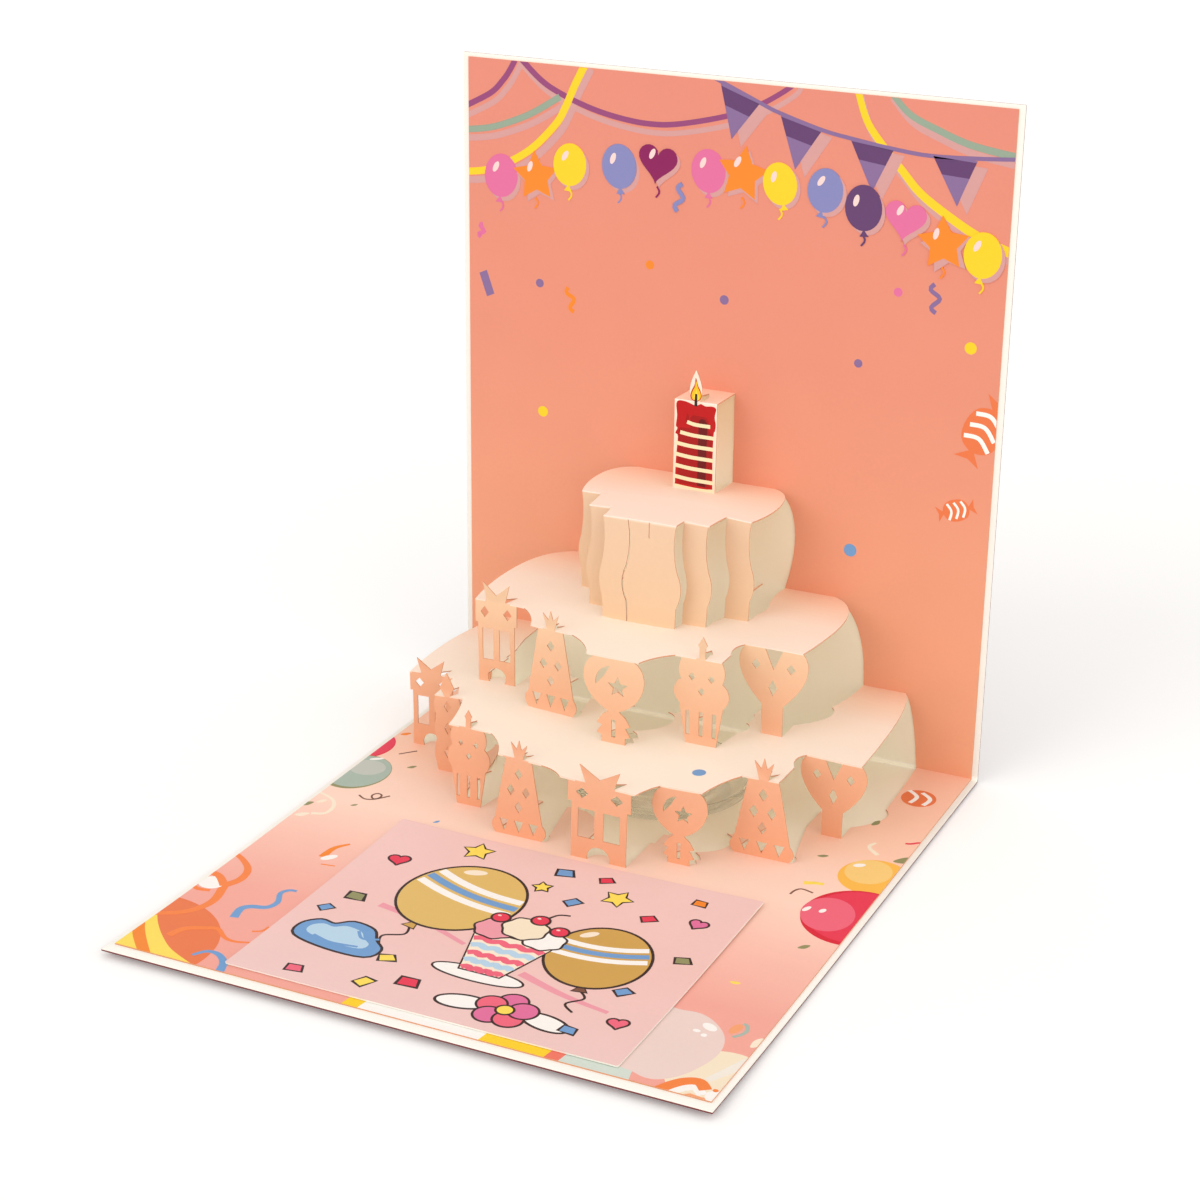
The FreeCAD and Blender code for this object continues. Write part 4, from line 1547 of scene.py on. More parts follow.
class Motifs:
    """The small shapes that the artwork repeats."""

    def __init__(self, ink: bpy.types.Material) -> None:
        """Makes one object for each motif."""
        drawn = {
            "dot": oval(0, 0, 1, 1, steps=24),
            "bar": [(-0.2, -0.5), (0.16, -0.48), (0.2, 0.5), (-0.16, 0.48)],
            "scrap": [(-0.5, -0.3), (0.5, -0.42), (0.42, 0.3), (-0.4, 0.42)],
            "leaf": smooth([(-0.5, -0.05), (0.0, -0.26), (0.5, 0.1), (0.05, 0.24)], steps=5),
            "star": star(0, 0, 0.62, 0.52),
            "heart": heart(0, 0, 1.0),
            "balloon": oval(0, 0.06, 0.84, 1.0, steps=32),
            "knot": [(-0.1, -0.56), (0.1, -0.56), (0.0, -0.4)],
            "shine": oval(-0.2, 0.24, 0.14, 0.3, -24, 16),
        }
        self.objects = {name: slab(name, [(outline, None, 0)], None, SINK)
                        for name, outline in drawn.items()}
        self.flag = slab("flag", [
            ([(-6.45, 0), (2.2, -13.2), (6.45, 0)], Ink.HEATHER, 0.0),
            ([(-6.1, -0.5), (-3.1, -5.1), (4.8, -5.1), (6.3, -0.5)], Ink.AUBERGINE, LEVEL_STEP)], ink, SINK)
        self.flag_shadow = slab("flag_shadow", [
            ([(-6.6, 0), (2.2, -13.6), (6.6, 0)], Ink.PRINTED_SHADOW, 0.0)], ink, SINK)

    def clear(self) -> None:
        """Removes the motifs once they have been copied."""
        for motif in (*self.objects.values(), self.flag, self.flag_shadow):
            bpy.data.objects.remove(motif)


def squiggle(u: float, v: float, length: float, swing: float, turn: float, waves: float = 1.5) -> Outline:
    """A path that swings from side to side.

    Args:
        u, v: its middle.
        length: its length.
        swing: how far it swings.
        turn: degrees against the clock.
        waves: how often it swings to and fro.

    Returns:
        The path.
    """
    path = []
    for step in range(25):
        share = step / 24
        path.append((length * (share - 0.5), swing * math.sin(2 * math.pi * waves * share)))
    return moved(path, u, v, turn)


def sweet(art: Artwork, u: float, v: float, size: float, turn: float) -> None:
    """A wrapped sweet with pale stripes.

    Args:
        art: where it is drawn.
        u, v: its middle.
        size: its length.
        turn: degrees against the clock.
    """
    wing = [(0.36, 0.0), (0.62, -0.24), (0.56, 0.0), (0.62, 0.24)]
    for way in (0.0, 180.0):
        art.fill(moved(wing, u, v, turn + way, size), Ink.APRICOT)
    body = smooth([(-0.42, 0), (-0.3, -0.26), (0, -0.34), (0.3, -0.26), (0.42, 0), (0.3, 0.26),
                   (0, 0.34), (-0.3, 0.26)])
    art.fill(moved(body, u, v, turn, size), Ink.APRICOT)
    for place in (-0.2, 0.02, 0.24):
        stripe = [(place - 0.09, -0.25), (place + 0.05, 0.0), (place - 0.03, 0.25)]
        art.band(moved(stripe, u, v, turn, size), Ink.WHITE, size * 0.075)


class BackPrint:
    """Streamers, bunting, a garland of balloons, confetti and sweets on the upright half."""

    GARLAND_INKS = (Ink.PINK, Ink.ORANGE, Ink.YELLOW, Ink.PERIWINKLE, Ink.PLUM, Ink.PINK, Ink.ORANGE,
                    Ink.YELLOW, Ink.PERIWINKLE, Ink.AUBERGINE, Ink.PINK, Ink.ORANGE, Ink.YELLOW)
    GARLAND_SHAPES = ("balloon", "star", "balloon", "balloon", "heart", "balloon", "star",
                      "balloon", "balloon", "balloon", "heart", "star", "balloon")
    GARLAND_PLACES = (-72.5, -61.0, -50.0, -34.0, -22.0, -6.0, 4.4, 16.0, 29.4, 41.0, 53.2, 64.6, 76.0)

    def __init__(self, art: Artwork) -> None:
        """Takes the artwork that it is drawn in."""
        self.art = art

    def draw(self, motifs: Motifs) -> None:
        """Draws the whole panel.

        Args:
            motifs: the small shapes that repeat.
        """
        self._streamers()
        self._bunting(motifs)
        self._garland()
        self._confetti()
        sweet(self.art, 79.5, 108.0, 17.0, 65.0)
        sweet(self.art, 73.2, 83.5, 9.6, 20.0)

    def _streamers(self) -> None:
        """Paper streamers, each with a pale shadow."""
        streamers = (
            ([(-86, 183.4), (-76.1, 188.7), (-71.8, 192.9), (-69.2, 196.6), (-66.9, 201)],
             Ink.MAUVE, 1.7, 1.7),
            ([(-67.4, 201), (-59.8, 194.3), (-53.3, 190.8), (-43.6, 187.4), (-34.1, 185.4),
              (-24.6, 184.6), (-15.3, 185.5), (-0.9, 189.1), (9, 193.2), (18, 199), (20, 202)],
             Ink.MAUVE, 1.8, 1.4),
            ([(-86, 177.2), (-79, 178.1), (-72.8, 179.7), (-63, 183.8), (-53.3, 189.7)], Ink.SAGE, 1.9, 1.9),
            ([(-86, 164.6), (-79, 165.6), (-72.9, 167.5), (-63, 173.3), (-54.8, 181.4), (-51.6, 186.6),
              (-48.5, 193.5), (-44.6, 201)], Ink.YELLOW, 2.1, 2.3),
            ([(46.5, 201), (52.8, 194.7), (61.6, 190.9), (70.3, 188), (80.8, 186.3), (87, 185.8)],
             Ink.SAGE, 1.8, 2.1),
            ([(37.2, 201), (40.3, 192.4), (44.1, 187), (51.8, 178.7), (57, 173.4), (64.5, 168.4),
              (73.4, 163.5), (81.5, 160.3), (87, 158.6)], Ink.YELLOW, 1.9, 2.8),
        )
        for path, _, start, end in streamers:
            self.art.band([(u + 1.2, v - 2.4) for u, v in path], Ink.PRINTED_SHADOW, start, end)
        for path, ink, start, end in streamers:
            self.art.band(path, ink, start, end)

    def _bunting(self, motifs: Motifs) -> None:
        """Four flags on a string, each with its shadow."""
        places = ((3.0, 195.9), (21.4, 189.4), (42.5, 185.5), (66.3, 184.1))
        for flag, right, down in ((motifs.flag_shadow, 3.0, 1.6), (motifs.flag, 0.0, 0.0)):
            corners = [(u + right, v - down) for u, v in places]
            level = self.art.level_over([*corners, (70.0, 170.0)], 7.0)
            points = [(u, v, level) for u, v in corners]
            source = self.art.source(flag.name, points, [(0, 1), (1, 2), (2, 3)], {}, [])
            self.art.pieces.append(run_tree(source, self.art.trees.bunting, {
                "Flag": flag, "Finish": self.art.ink}, "%s_%s" % (self.art.name, flag.name)))
        string = [(-5, 199.4), (2.8, 196.2), (8.9, 193.7), (15, 191.4), (27.6, 187.9), (36.2, 186.4),
                  (48.8, 184.7), (59.5, 183.9), (73.4, 184.5), (87, 185.6)]
        self.art.band(string, Ink.HEATHER, 1.1)

    def _garland(self) -> None:
        """Thirteen balloons on an arc, each with its shadow, its shine and its thread."""
        for index, u in enumerate(self.GARLAND_PLACES):
            ink, shape = self.GARLAND_INKS[index], self.GARLAND_SHAPES[index]
            v = 173.6 - 15.5 * ((u + 8.0) / 82.0) ** 2 - (1.4 if index % 2 else 0.0)
            size = (13.0, 12.2, 12.6)[index % 3]
            turn = (-6.0, 5.0, -3.0, 8.0)[index % 4]
            self.art.bit(shape, u + 1.0, v - 1.1, size, turn, Ink.PRINTED_SHADOW)
            tail = [(u, v - size * 0.52), (u + 0.8, v - size * 0.52 - 1.6), (u - 0.3, v - size * 0.52 - 3.2)]
            self.art.band(tail, ink, 0.5)
            if shape == "balloon":
                self.art.bit("knot", u, v, size, turn, ink)
            self.art.bit(shape, u, v, size, turn, ink)
            self.art.bit("shine", u + 0.5, v + 0.3, size * 0.9, turn, Ink.PALE_PINK)

    def _confetti(self) -> None:
        """Loose dots, bars and squiggles."""
        for u, v, size, ink in ((-59.6, 133.7, 2.6, Ink.HEATHER), (-0.1, 136.0, 2.8, Ink.HEATHER),
                                (41.6, 122.7, 2.5, Ink.HEATHER), (-23.8, 143.5, 2.7, Ink.ORANGE),
                                (-58.4, 93.9, 3.3, Ink.YELLOW), (74.3, 131.5, 3.5, Ink.YELLOW),
                                (42.0, 66.1, 3.9, Ink.SKY), (52.3, 144.8, 2.6, Ink.PINK)):
            self.art.bit("dot", u, v, size, 0.0, ink)
        self.art.bit("bar", -77.4, 131.5, 7.6, 20.0, Ink.HEATHER)
        for u, v, length, swing, turn, ink in ((-49.2, 129.9, 7.4, 1.0, 105.0, Ink.ORANGE),
                                               (-14.8, 164.3, 8.2, 1.1, 80.0, Ink.PERIWINKLE),
                                               (63.2, 144.3, 8.2, 1.3, 95.0, Ink.HEATHER),
                                               (-79.0, 147.5, 4.2, 0.9, 80.0, Ink.PINK)):
            self.art.band(squiggle(u, v, length, swing, turn), ink, 1.3)


class BasePrint:
    """Balloons, sweets, ribbons and confetti on the half that lies flat."""

    CORNER = (-92.0, -104.0)

    def __init__(self, art: Artwork) -> None:
        """Takes the artwork that it is drawn in."""
        self.art = art

    def draw(self) -> None:
        """Draws the whole half."""
        self._right_side()
        self._left_side()
        self._front_left()
        self._front_right()

    def _balloon(self, whole: tuple[float, ...], lit: tuple[float, ...], inks: tuple[Ink, Ink, Ink],
                 shines: tuple[tuple[float, ...], ...]) -> None:
        """A large balloon with a dark rim, a lit patch and shines.

        Args:
            whole: its middle, width and height.
            lit: the lit patch's middle, width, height and turn.
            inks: the rim's ink, the balloon's and the lit patch's.
            shines: each shine's middle, width, height and turn.
        """
        u, v, wide, tall = whole
        rim, body, glow = inks
        self.art.fill(oval(u, v, wide, tall, 0, 64), rim)
        self.art.fill(oval(u + wide * 0.02, v + tall * 0.02, wide * 0.93, tall * 0.93, 0, 64), body)
        self.art.fill(oval(*lit, 40), glow)
        for shine in shines:
            self.art.fill(oval(*shine, 20), Ink.WHITE)

    def _right_side(self) -> None:
        """What lies to the right of the cake, from the gutter forwards."""
        art = self.art
        art.fill(oval(73.6, 79.4, 11.0, 10.2, -70), Ink.APRICOT)
        for shift in (-2.2, 1.8):
            art.band([(71.6 + shift, 83.4), (75.0 + shift, 80.2), (74.4 + shift, 75.6)], Ink.WHITE, 1.3)
        self._balloon((78.4, 27.4, 19.4, 20.4), (76.2, 29.6, 13.0, 14.4, 0),
                      (Ink.AMBER, Ink.AMBER, Ink.HONEY), ((72.6, 32.2, 3.6, 2.0, 36),))
        self._balloon((82.2, 3.4, 29.4, 31.0), (74.7, 2.0, 14.6, 18.6, 14),
                      (Ink.CRIMSON, Ink.MAGENTA, Ink.ROSE_GLOW), ((68.6, 2.4, 1.5, 3.4, -20),
                                                                  (72.8, 3.2, 1.6, 2.6, -20)))
        art.band([(72.1, 47.0), (71.1, 44.6), (72.2, 42.6), (75.0, 40.3)], Ink.CREAM, 0.9, 1.4)
        art.band([(79.6, 50.4), (81.1, 50.9), (83.2, 52.6), (86.0, 52.0)], Ink.MAGENTA, 0.9)
        art.band([(61.6, 8.2), (62.0, 10.6), (63.4, 12.3), (66.9, 11.5)], Ink.UMBER, 0.6)
        art.band([(62.6, 15.8), (65.2, 17.0), (67.8, 17.4)], Ink.LEMON, 1.8, 1.2)
        for u, v, size, turn, ink in ((67.9, 58.8, 3.0, 60, Ink.OLIVE), (83.0, 40.6, 5.4, 30, Ink.OLIVE),
                                      (61.6, 33.0, 2.4, 20, Ink.OLIVE), (75.4, -17.1, 2.8, 40, Ink.OLIVE),
                                      (45.8, 28.0, 2.4, 40, Ink.APRICOT), (66.5, -42.0, 2.2, 0, Ink.LEMON)):
            art.bit("leaf", u, v, size * 1.3, turn, ink)

    def _left_side(self) -> None:
        """What lies to the left of the cake."""
        art = self.art
        self._balloon((-90.0, 39.6, 21.0, 22.0), (-88.0, 41.0, 9.0, 13.0, 0),
                      (Ink.CRIMSON, Ink.MAGENTA, Ink.CORAL), ())
        self._balloon((-80.8, 21.8, 19.6, 23.4), (-79.4, 25.6, 11.0, 10.0, 0),
                      (Ink.OLIVE, Ink.CELADON, Ink.MIST), ((-80.0, 32.0, 4.4, 1.4, 36),))
        art.band([(-72.3, 8.5), (-69.5, 7.0), (-66.6, 8.4), (-66.2, 11.0), (-68.0, 11.8), (-68.8, 9.8),
                  (-67.0, 8.2), (-64.0, 11.9)], Ink.UMBER, 0.55)
        art.band([(-84.8, 5.1), (-80.9, 4.2), (-77.4, 2.3), (-75.0, -1.6), (-75.1, -6.0), (-78.6, -7.8)],
                 Ink.CREAM, 0.8, 1.4)
        art.band([(-61.8, -29.6), (-61.5, -23.6), (-58.8, -19.6)], Ink.ORANGE, 2.4, 0.8)
        art.fill(oval(-59.9, -29.0, 5.0, 2.4, 50), Ink.WHITE)
        art.band([(-59.9, -33.4), (-55.8, -32.7)], Ink.ORANGE, 0.5)
        art.band([(-75.8, 38.0), (-72.0, 42.3)], Ink.UMBER, 0.6)
        for u, v, size, turn, ink in ((-83.0, -3.0, 4.4, 40, Ink.OLIVE), (-70.3, 2.2, 2.2, 30, Ink.OLIVE),
                                      (-67.9, 31.8, 3.0, 40, Ink.OLIVE), (-79.9, 0.3, 3.4, 40, Ink.CREAM),
                                      (-80.6, -9.5, 4.4, 30, Ink.CREAM), (-81.0, 51.5, 3.4, 30, Ink.ORANGE),
                                      (-52.0, -14.0, 2.6, 30, Ink.APRICOT), (-44.0, 3.4, 2.2, 50, Ink.SKY)):
            art.bit("leaf", u, v, size, turn, ink)

    def _front_left(self) -> None:
        """The striped ball that runs off the corner, and the ribbons beside it."""
        art = self.art
        art.fill(oval(-84.0, -93.0, 51.4, 51.4, 0, 72), Ink.APRICOT)
        for ink, edge in ((Ink.LEMON, ((-88.0, -72.0), (-85.2, -74.8), (-80.0, -81.9), (-74.3, -87.9),
                                       (-68.4, -92.6), (-60.0, -96.6))),
                          (Ink.ORANGE, ((-88.0, -77.0), (-85.0, -80.1), (-81.5, -85.6), (-77.1, -91.1),
                                        (-70.0, -99.0))),
                          (Ink.LEMON, ((-88.0, -84.0), (-84.5, -87.1), (-81.2, -91.4), (-75.0, -98.0)))):
            art.fill(smooth(list(edge), closed=False)[::-1] + [self.CORNER], ink)
        art.band([(-84.0, -78.0), (-78.3, -74.3), (-75.1, -69.7), (-74.3, -63.7), (-76.5, -56.0)],
                 Ink.TANGERINE, 1.8, 2.6)
        art.fill(oval(-80.4, -56.0, 7.4, 7.0), Ink.WHITE)
        art.band([(-76.5, -56.0), (-80.9, -51.8), (-85.1, -51.3), (-86.4, -54.6), (-85.4, -58.5),
                  (-82.0, -60.7), (-78.3, -60.1)], Ink.TANGERINE, 2.4, 1.2)
        art.band([(-76.9, -56.6), (-74.6, -51.2), (-75.8, -45.3), (-80.2, -40.9), (-85.2, -38.0)],
                 Ink.TANGERINE, 2.6, 1.4)
        art.band([(-73.6, -86.4), (-72.0, -81.4), (-67.6, -78.7), (-64.3, -77.6), (-60.1, -80.8),
                  (-56.6, -81.4), (-52.9, -80.1)], Ink.TANGERINE, 2.2, 0.7)
        art.band([(-64.2, -70.2), (-65.2, -65.4), (-63.6, -63.0), (-59.6, -61.4), (-58.6, -57.7),
                  (-60.6, -53.0), (-59.4, -50.4), (-57.4, -50.0)], Ink.SKY, 2.4, 1.0)
        art.band([(-62.2, -92.6), (-60.0, -89.2), (-56.5, -89.2), (-53.0, -92.3), (-51.2, -97.0)],
                 Ink.SKY, 1.0, 2.4)
        art.band([(-55.8, -74.6), (-53.6, -73.2), (-53.2, -70.4)], Ink.TANGERINE, 0.8)

    def _front_right(self) -> None:
        """The balloons and the parcel's corner that the loose card half covers."""
        art = self.art
        art.fill([(42.0, -99.0), (62.6, -99.0), (61.2, -92.6), (57.0, -88.0), (42.0, -92.0)], Ink.FROST)
        for left, right, ink in ((-16.2, -11.6, Ink.YELLOW), (-11.6, 22.0, Ink.WHITE),
                                 (22.0, 39.6, Ink.YELLOW), (39.6, 43.4, Ink.CORAL)):
            art.fill([(left, -98.0), (right, -98.0), (right + 1.0, -90.0), (left + 1.0, -90.0)], ink)
        art.fill(oval(80.4, -86.2, 25.0, 25.4, 0, 64), Ink.VANILLA)
        art.band([(78.6, -88.0), (81.2, -82.4), (84.4, -75.0)], Ink.CREAM_SHINE, 2.0, 3.4)
        art.fill(smooth([(50.0, -62.0), (59.6, -60.4), (64.6, -59.9), (68.7, -61.6), (72.2, -64.6),
                         (74.8, -68.4), (76.1, -72.9), (76.1, -77.8), (74.7, -83.4), (72.3, -88.9),
                         (68.7, -92.8), (65.2, -93.8), (61.2, -92.6), (50.0, -88.0)], steps=4)[::-1],
                 Ink.BLUSH)
        for shine in ((69.4, -65.0, 4.6, 2.8, -30), (67.2, -68.0, 2.0, 1.4, 0), (69.6, -69.2, 1.6, 1.6, 0)):
            art.fill(oval(*shine, 20), Ink.WHITE)
        art.fill([(73.0, -99.0), (77.4, -95.4), (80.4, -95.8), (86.0, -95.0), (86.0, -99.0)], Ink.MELON)
        art.band([(71.4, -99.4), (74.6, -94.6), (77.4, -92.6), (80.2, -94.8)], Ink.WHITE, 2.6)
        art.band([(69.2, -99.4), (71.8, -94.0), (74.4, -90.8), (77.4, -89.8), (80.0, -92.4)],
                 Ink.TANGERINE, 3.2)
        art.fill(oval(83.0, -94.4, 4.4, 5.4, 20), Ink.WHITE)
        for u, v, size in ((82.2, -91.6, 1.4), (84.6, -93.4, 1.8), (84.4, -96.4, 1.2)):
            art.bit("dot", u, v, size, 0.0, Ink.TANGERINE)
        art.fill(oval(75.4, -62.9, 2.6, 5.2, -10), Ink.MELON)
        art.band([(76.2, -66.8), (77.6, -65.0), (78.2, -62.7), (77.4, -60.4), (76.2, -59.8)], Ink.CELADON, 1.0)
        art.bit("leaf", 82.6, -66.8, 5.4, 66, Ink.CREAM)


class CandlePrint:
    """The red candle with its pale stripes, printed on the tall paper candle, and its flame."""

    # The wax's right edge, from the foot up, and its left edge, from the shoulder down
    RIGHT_EDGE = ((5.8, -25.4), (5.6, -18.0), (5.7, -9.6), (6.1, -8.4), (6.3, -6.4), (5.9, -4.2),
                  (6.3, -1.6), (5.2, -0.9))
    LEFT_EDGE = ((-5.4, -0.4), (-6.1, -1.6), (-5.8, -5.0), (-6.1, -8.2), (-5.6, -9.0), (-6.2, -10.6),
                 (-5.4, -11.6), (-5.8, -18.0), (-5.9, -25.6))

    def __init__(self, art: Artwork) -> None:
        """Takes the artwork that it is drawn in."""
        self.art = art

    def draw(self) -> None:
        """Draws the candle downwards from the fold line at its top."""
        art = self.art
        brim = ((3.0, -1.1), (1.6, -0.6), (0.0, -1.3), (-2.0, -0.7), (-3.6, -0.3))
        foot = ((-5.5, -26.2), (0.0, -26.8), (5.3, -26.4))
        art.fill(smooth([*foot, *self.RIGHT_EDGE, *brim, *self.LEFT_EDGE], steps=4), Ink.WAX_RED)
        for left, right, top, ink in ((-5.2, 5.2, -8.6, Ink.WAX_DEEP), (-1.6, 4.0, -4.4, Ink.WAX_DEEP),
                                      (1.0, 3.6, -5.2, Ink.WAX_DARK)):
            art.fill([(left, -25.9), (right, -26.1), (right + 0.1, top - 1.4), (right - 0.7, top - 0.2),
                      (left + 0.8, top), (left, top - 0.8)], ink)
        art.fill([(-2.6, -4.0), (-2.0, -5.0), (-2.2, -7.6), (-3.2, -6.4)], Ink.WAX_DEEP)
        for index in range(6):
            at = -7.0 - index * 3.42
            left = (-2.6, -4.7, -5.9, -5.9, -6.0, -6.0)[index]
            right = 4.6 if index == 0 else 5.9
            path = [(left, at + 0.3), ((left + right) / 2 - 1.0, at - 0.25), (right, at - 0.3)]
            art.band(path, Ink.STRIPE, 1.15)
        art.band([(-6.0, -26.5), (0.0, -27.0), (6.0, -26.9)], Ink.STRIPE, 0.7)

    def draw_flame(self) -> None:
        """Draws the flame and its wick above the fold line."""
        flame = smooth([(0.1, 0.0), (1.2, 0.5), (1.75, 1.9), (1.4, 3.5), (0.6, 5.1), (-0.1, 7.4),
                        (-0.45, 5.3), (-1.25, 3.6), (-1.75, 1.8), (-1.3, 0.4)], steps=5)
        self.art.fill(flame, Ink.FLAME_EDGE)
        self.art.fill(moved(flame, 0.06, 0.3, 0.0, 0.82), Ink.FLAME)
        self.art.fill(moved(flame, 0.12, 0.3, 0.0, 0.5), Ink.FLAME_HEART)
        self.art.band([(0.0, -1.5), (0.02, 0.4), (0.08, 2.4)], Ink.COCOA, 0.9, 0.7)


class CardPrint:
    """The party picture on the loose card: balloons, a sundae, a cloud, a flower and confetti."""

    def __init__(self, art: Artwork) -> None:
        """Takes the artwork that it is drawn in."""
        self.art = art

    def draw(self) -> None:
        """Draws the whole picture."""
        self.art.band([(-36.0, 0.0), (-20.0, -3.5), (-6.0, -9.0)], Ink.ROSE, 2.4, 1.4)
        self.art.band([(14.0, -16.0), (28.0, -21.0), (42.0, -24.0)], Ink.ROSE, 2.6, 1.4)
        self._balloon(-18.5, 13.0, 33.0, 36.0, -14.0, Ink.BISCUIT, Ink.TAN)
        self._balloon(28.0, 0.0, 27.0, 31.0, 10.0, Ink.TAN, Ink.UMBER)
        self._sundae(4.5, -8.0)
        self._cloud(-36.0, -21.0)
        self._flower(19.0, -34.5)
        self._bits()

    def _balloon(self, u: float, v: float, wide: float, tall: float, turn: float, ink: Ink,
                 shade: Ink) -> None:
        """A large balloon with striped bands and a thread.

        Args:
            u, v: its middle.
            wide, tall: its size.
            turn: degrees against the clock.
            ink: its colour.
            shade: the colour of its knot.
        """
        knot = [(-1.8, -tall * 0.58), (1.8, -tall * 0.58), (0.0, -tall * 0.47)]
        thread = [(0.0, -tall * 0.56), (2.2, -tall * 0.68), (-1.6, -tall * 0.8), (1.2, -tall * 0.92)]
        self.art.band(moved(thread, u, v, turn), Ink.COCOA, 0.7)
        self.art.lined(moved(knot, u, v, turn), shade)
        self.art.lined(oval(u, v, wide, tall, turn, 56), ink, 0.8)
        for index, stripe in enumerate((Ink.WHITE, Ink.SKY, Ink.WHITE)):
            at = tall * (0.2 - 0.1 * index)
            half = wide / 2 * math.sqrt(1 - (2 * at / tall) ** 2) - 0.7
            path = [(-half, at + 0.8), (-half * 0.5, at - 0.6), (0.0, at - 1.1), (half * 0.5, at - 0.6),
                    (half, at + 0.8)]
            self.art.band(moved(path, u, v, turn), stripe, tall * 0.07)
        shine = moved([(-wide * 0.2, tall * 0.36)], u, v, turn)[0]
        self.art.fill(oval(*shine, wide * 0.2, tall * 0.08, turn + 34, 20), Ink.CREAM)

    def _sundae(self, u: float, v: float) -> None:
        """A tall glass of pink and cream layers, with scoops and cherries, on a saucer."""
        art = self.art
        art.lined(oval(u, v - 13.6, 25.0, 6.4, 0, 44), Ink.WHITE)
        art.lined([(u - 5.6, v - 12.6), (u + 5.6, v - 12.6), (u + 11.2, v + 7.0), (u - 11.2, v + 7.0)],
                  Ink.CREAM)
        for low, ink in ((-11.4, Ink.ROSE_GLOW), (-7.6, Ink.PALE_SKY), (-4.0, Ink.ROSE_GLOW),
                         (0.0, Ink.PALE_SKY), (3.6, Ink.ROSE_GLOW)):
            half = 5.3 + (low + 12.6) * 0.285
            wave = [(u + half * (index / 4 - 1), v + low + (0.5 if index % 2 else -0.5)) for index in range(9)]
            art.band(wave, ink, 2.3)
        for x, y, size, ink in ((-7.0, 10.0, 11.0, Ink.ROSE), (7.0, 10.0, 11.0, Ink.WHITE),
                                (0.0, 13.2, 12.0, Ink.VANILLA)):
            puff = [(size * 0.5 * math.cos(a) * (1.06 if n % 2 else 0.95),
                     size * 0.45 * math.sin(a) * (1.06 if n % 2 else 0.95))
                    for n, a in enumerate(step * math.pi / 7 for step in range(14))]
            art.lined(moved(smooth(puff, steps=3), u + x, v + y), ink)
        art.band([(u + 2.6, v + 20.8), (u + 4.4, v + 24.0), (u + 7.4, v + 25.0)], Ink.COCOA, 0.7)
        for x, y in ((-8.6, 16.0), (1.6, 19.0), (8.8, 15.6)):
            art.lined(oval(u + x, v + y, 4.4, 4.2), Ink.MAGENTA)
            art.fill(oval(u + x - 0.8, v + y + 0.8, 1.1, 0.8), Ink.PALE_PINK)

    def _cloud(self, u: float, v: float) -> None:
        """A blue cloud with a paler middle and two curved lines in it."""
        puffs = smooth([(-11, -4.6), (0, -6.2), (11, -4.6), (12.4, 0.6), (8.4, 4.0), (4.6, 8.4), (-2, 9.0),
                        (-5.6, 5.4), (-10, 5.4), (-13, 1.0)], steps=4)
        self.art.lined(moved(puffs, u, v, -6), Ink.SKY, 0.8)
        self.art.fill(moved([(x * 0.74 - 0.8, y * 0.6 + 0.8) for x, y in puffs], u, v, -6), Ink.PALE_SKY)
        self.art.band([(u - 7, v - 1.4), (u - 1, v - 3.0), (u + 6.5, v - 2.0)], Ink.SKY, 0.9)
        self.art.band([(u + 2.5, v + 5.5), (u + 5.4, v + 2.4), (u + 9.5, v + 4.0)], Ink.SKY, 0.9)

    def _flower(self, u: float, v: float) -> None:
        """A flower with five petals between two white leaves."""
        for way in (1, -1):
            self.art.lined(oval(u + way * 11.5, v - 1.0, 13.0, 6.0, way * -12), Ink.WHITE, 0.8)
        for petal in range(5):
            angle = math.radians(90 + 72 * petal)
            self.art.lined(oval(u + 4.6 * math.cos(angle), v + 4.6 * math.sin(angle), 7.2, 7.2),
                           (Ink.PINK, Ink.ROSE_GLOW)[petal % 2])
        self.art.lined(oval(u, v, 4.0, 4.0), Ink.LEMON)

    def _bits(self) -> None:
        """Stars, hearts and confetti round the picture."""
        for u, v, size, turn in ((-27.0, 38.5, 4.4, 10.0), (19.0, 31.0, 4.2, -14.0), (-2.0, 28.0, 2.6, 20.0)):
            self.art.lined(star(u, v, size, 0.5, turn), Ink.LEMON)
        for u, v, size, turn, ink in ((-44.0, 24.0, 5.6, 14.0, Ink.MAGENTA), (44.0, 27.0, 4.8, -10.0, Ink.PINK),
                                      (46.5, -28.0, 5.0, 12.0, Ink.ROSE_GLOW)):
            self.art.lined(heart(u, v, size, turn), ink)
        for u, v, size, turn, ink in ((0.0, 38.0, 4.4, 20, Ink.SKY), (9.0, 24.0, 3.8, 60, Ink.SKY),
                                      (-44.0, 1.0, 4.6, 10, Ink.OLIVE), (31.0, 24.5, 3.6, 40, Ink.MAGENTA),
                                      (-20.0, -24.5, 4.0, 30, Ink.LEMON), (-9.0, -33.0, 5.0, 12, Ink.MAGENTA),
                                      (-19.0, -38.0, 4.2, 70, Ink.LEMON), (-38.0, -40.0, 4.0, 15, Ink.ROSE_GLOW),
                                      (41.0, -13.0, 3.8, 50, Ink.SKY), (48.0, 8.0, 3.8, 25, Ink.OLIVE),
                                      (-48.0, -8.0, 3.4, 55, Ink.SKY), (40.0, 38.0, 3.4, 5, Ink.ORANGE),
                                      (12.0, 39.0, 3.4, 35, Ink.MAGENTA), (37.0, -36.0, 3.8, 0, Ink.SKY)):
            self.art.bit("scrap", u, v, size * 1.36, turn, Ink.COCOA)
            self.art.bit("scrap", u, v, size, turn, ink)


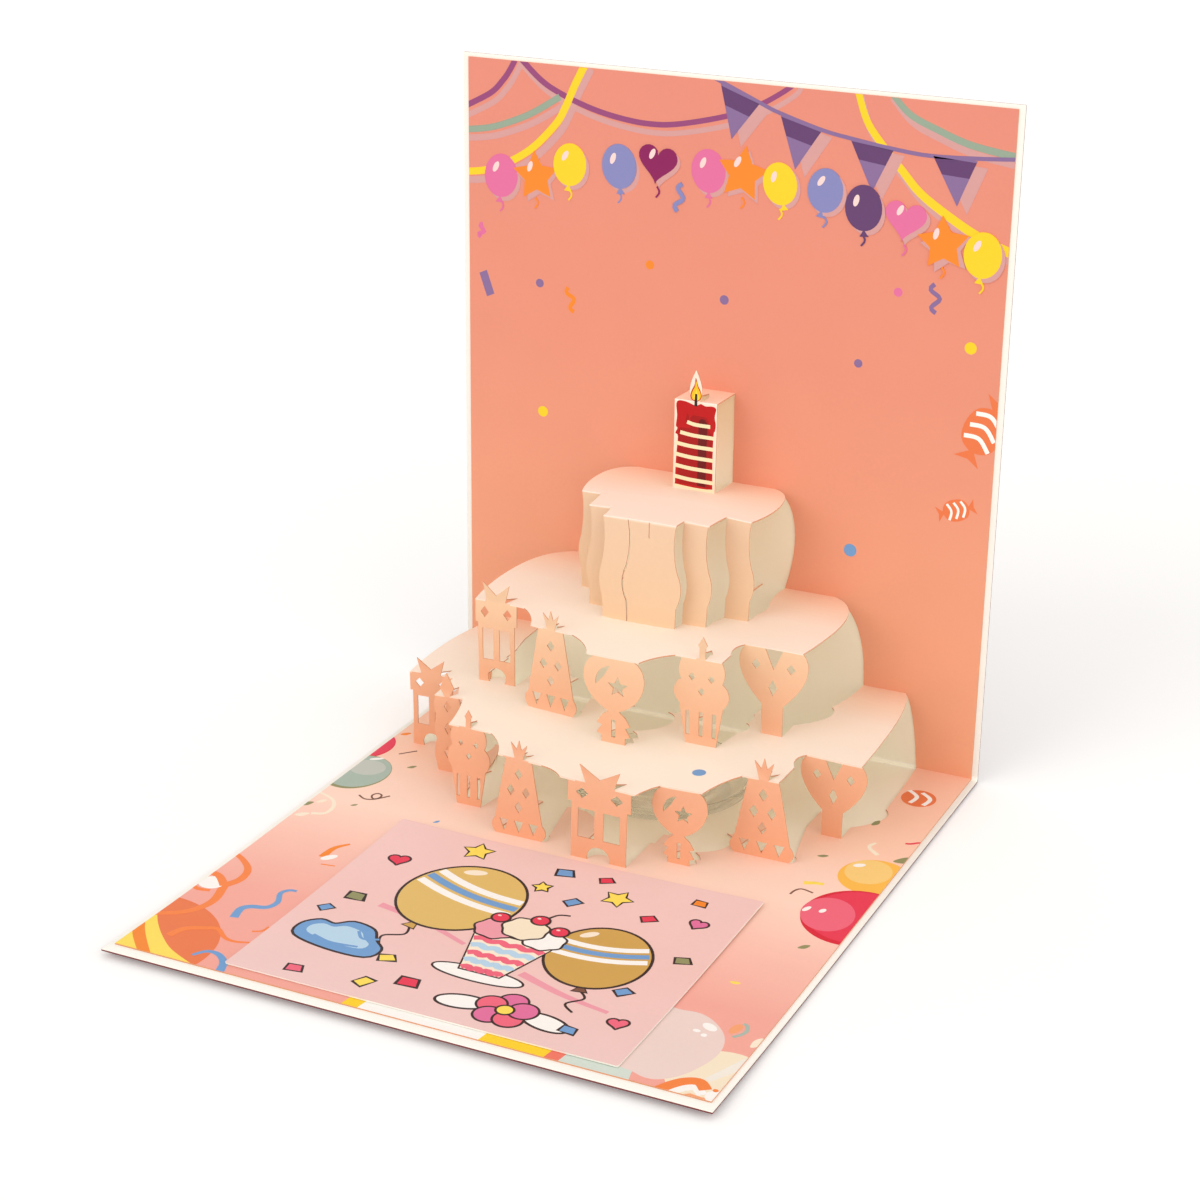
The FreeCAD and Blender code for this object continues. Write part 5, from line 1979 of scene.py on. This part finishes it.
@dataclass
class Card:
    """The whole pop up card."""

    effects: PaperEffects = field(default_factory=PaperEffects)

    def build(self) -> None:
        """Builds each piece, prints on it and fixes it to the card's body."""
        cover = Cover(self.effects).build()
        share_out([cover], "cover_board", "cover")
        sheet = PopupSheet(self.effects)
        paper = sheet.build()
        card = PictureCard(self.effects)
        picture = card.build()
        share_out([ClearDisc(self.effects).build()], "clear_plastic", "clear_disc")
        ink = INKS.build(self.effects)
        motifs = Motifs(ink)
        prints = self._sheet_prints(sheet, ink, motifs)
        share_out([paper, *prints], "printed_sheet", "popup_sheet")
        share_out([picture, *self._card_print(card, ink, motifs)], "picture_card", "picture_card")
        motifs.clear()

    @staticmethod
    def _sheet_prints(sheet: PopupSheet, ink: bpy.types.Material, motifs: Motifs
                      ) -> list[bpy.types.Object]:
        """Everything that is printed on the folded sheet."""
        low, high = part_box("popup_sheet")
        gutter, candle = sheet.plan.gutter, sheet.plan.candle
        trees = PrintTrees()
        east, north, up = Vector((1, 0, 0)), Vector((0, 1, 0)), Vector((0, 0, 1))
        back = Surface(Vector((0, gutter.y, 0)), east, up,
                       window=(low.x / MM, gutter.z / MM, high.x / MM, high.z / MM))
        base = Surface(Vector((0, 0, gutter.z)), east, north, bend=BOW.at,
                       window=(low.x / MM, low.y / MM, high.x / MM, gutter.y / MM))
        middle = (candle.left + candle.right) / 2
        front = Surface(Vector((middle, candle.front, candle.level)), east, up, bend=sheet.sway.at)
        tier = Surface(Vector((0, 0, sheet.plan.levels[1])), east, north, bend=sheet.sway.at)
        arts = [Artwork(name, surface, trees, ink) for name, surface in (
            ("back_print", back), ("base_print", base), ("candle_print", front), ("tier_print", tier))]
        BackPrint(arts[0]).draw(motifs)
        BasePrint(arts[1]).draw()
        wax = CandlePrint(arts[2])
        wax.draw()
        wax.draw_flame()
        arts[3].bit("dot", 28.4, 21.9, 3.9, 0.0, Ink.SKY)
        return [piece for art in arts for piece in art.build(motifs.objects)]

    @staticmethod
    def _card_print(card: PictureCard, ink: bpy.types.Material, motifs: Motifs
                    ) -> list[bpy.types.Object]:
        """The picture on the loose card."""
        face = Surface(card.middle, Vector((1, 0, 0)), Vector((0, 1, 0)), bend=card.lift_at)
        art = Artwork("card_print", face, PrintTrees(), ink)
        CardPrint(art).draw()
        return art.build(motifs.objects)


def note_size(label: str, lines: list[str]) -> None:
    """Notes the object's box.

    Args:
        label: when it was measured.
        lines: what has been noted so far.
    """
    low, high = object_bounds()
    lines.append("%s %s %s" % (label, [round(v, 5) for v in low], [round(v, 5) for v in high]))


def main() -> None:
    """Builds the card and its studio."""
    logging.basicConfig(level=logging.INFO, format="%(name)s: %(message)s")
    lines: list[str] = []
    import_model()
    note_size("packed", lines)
    Card().build()
    Studio().build()
    note_size("dressed", lines)


if __name__ == "__main__":
    main()
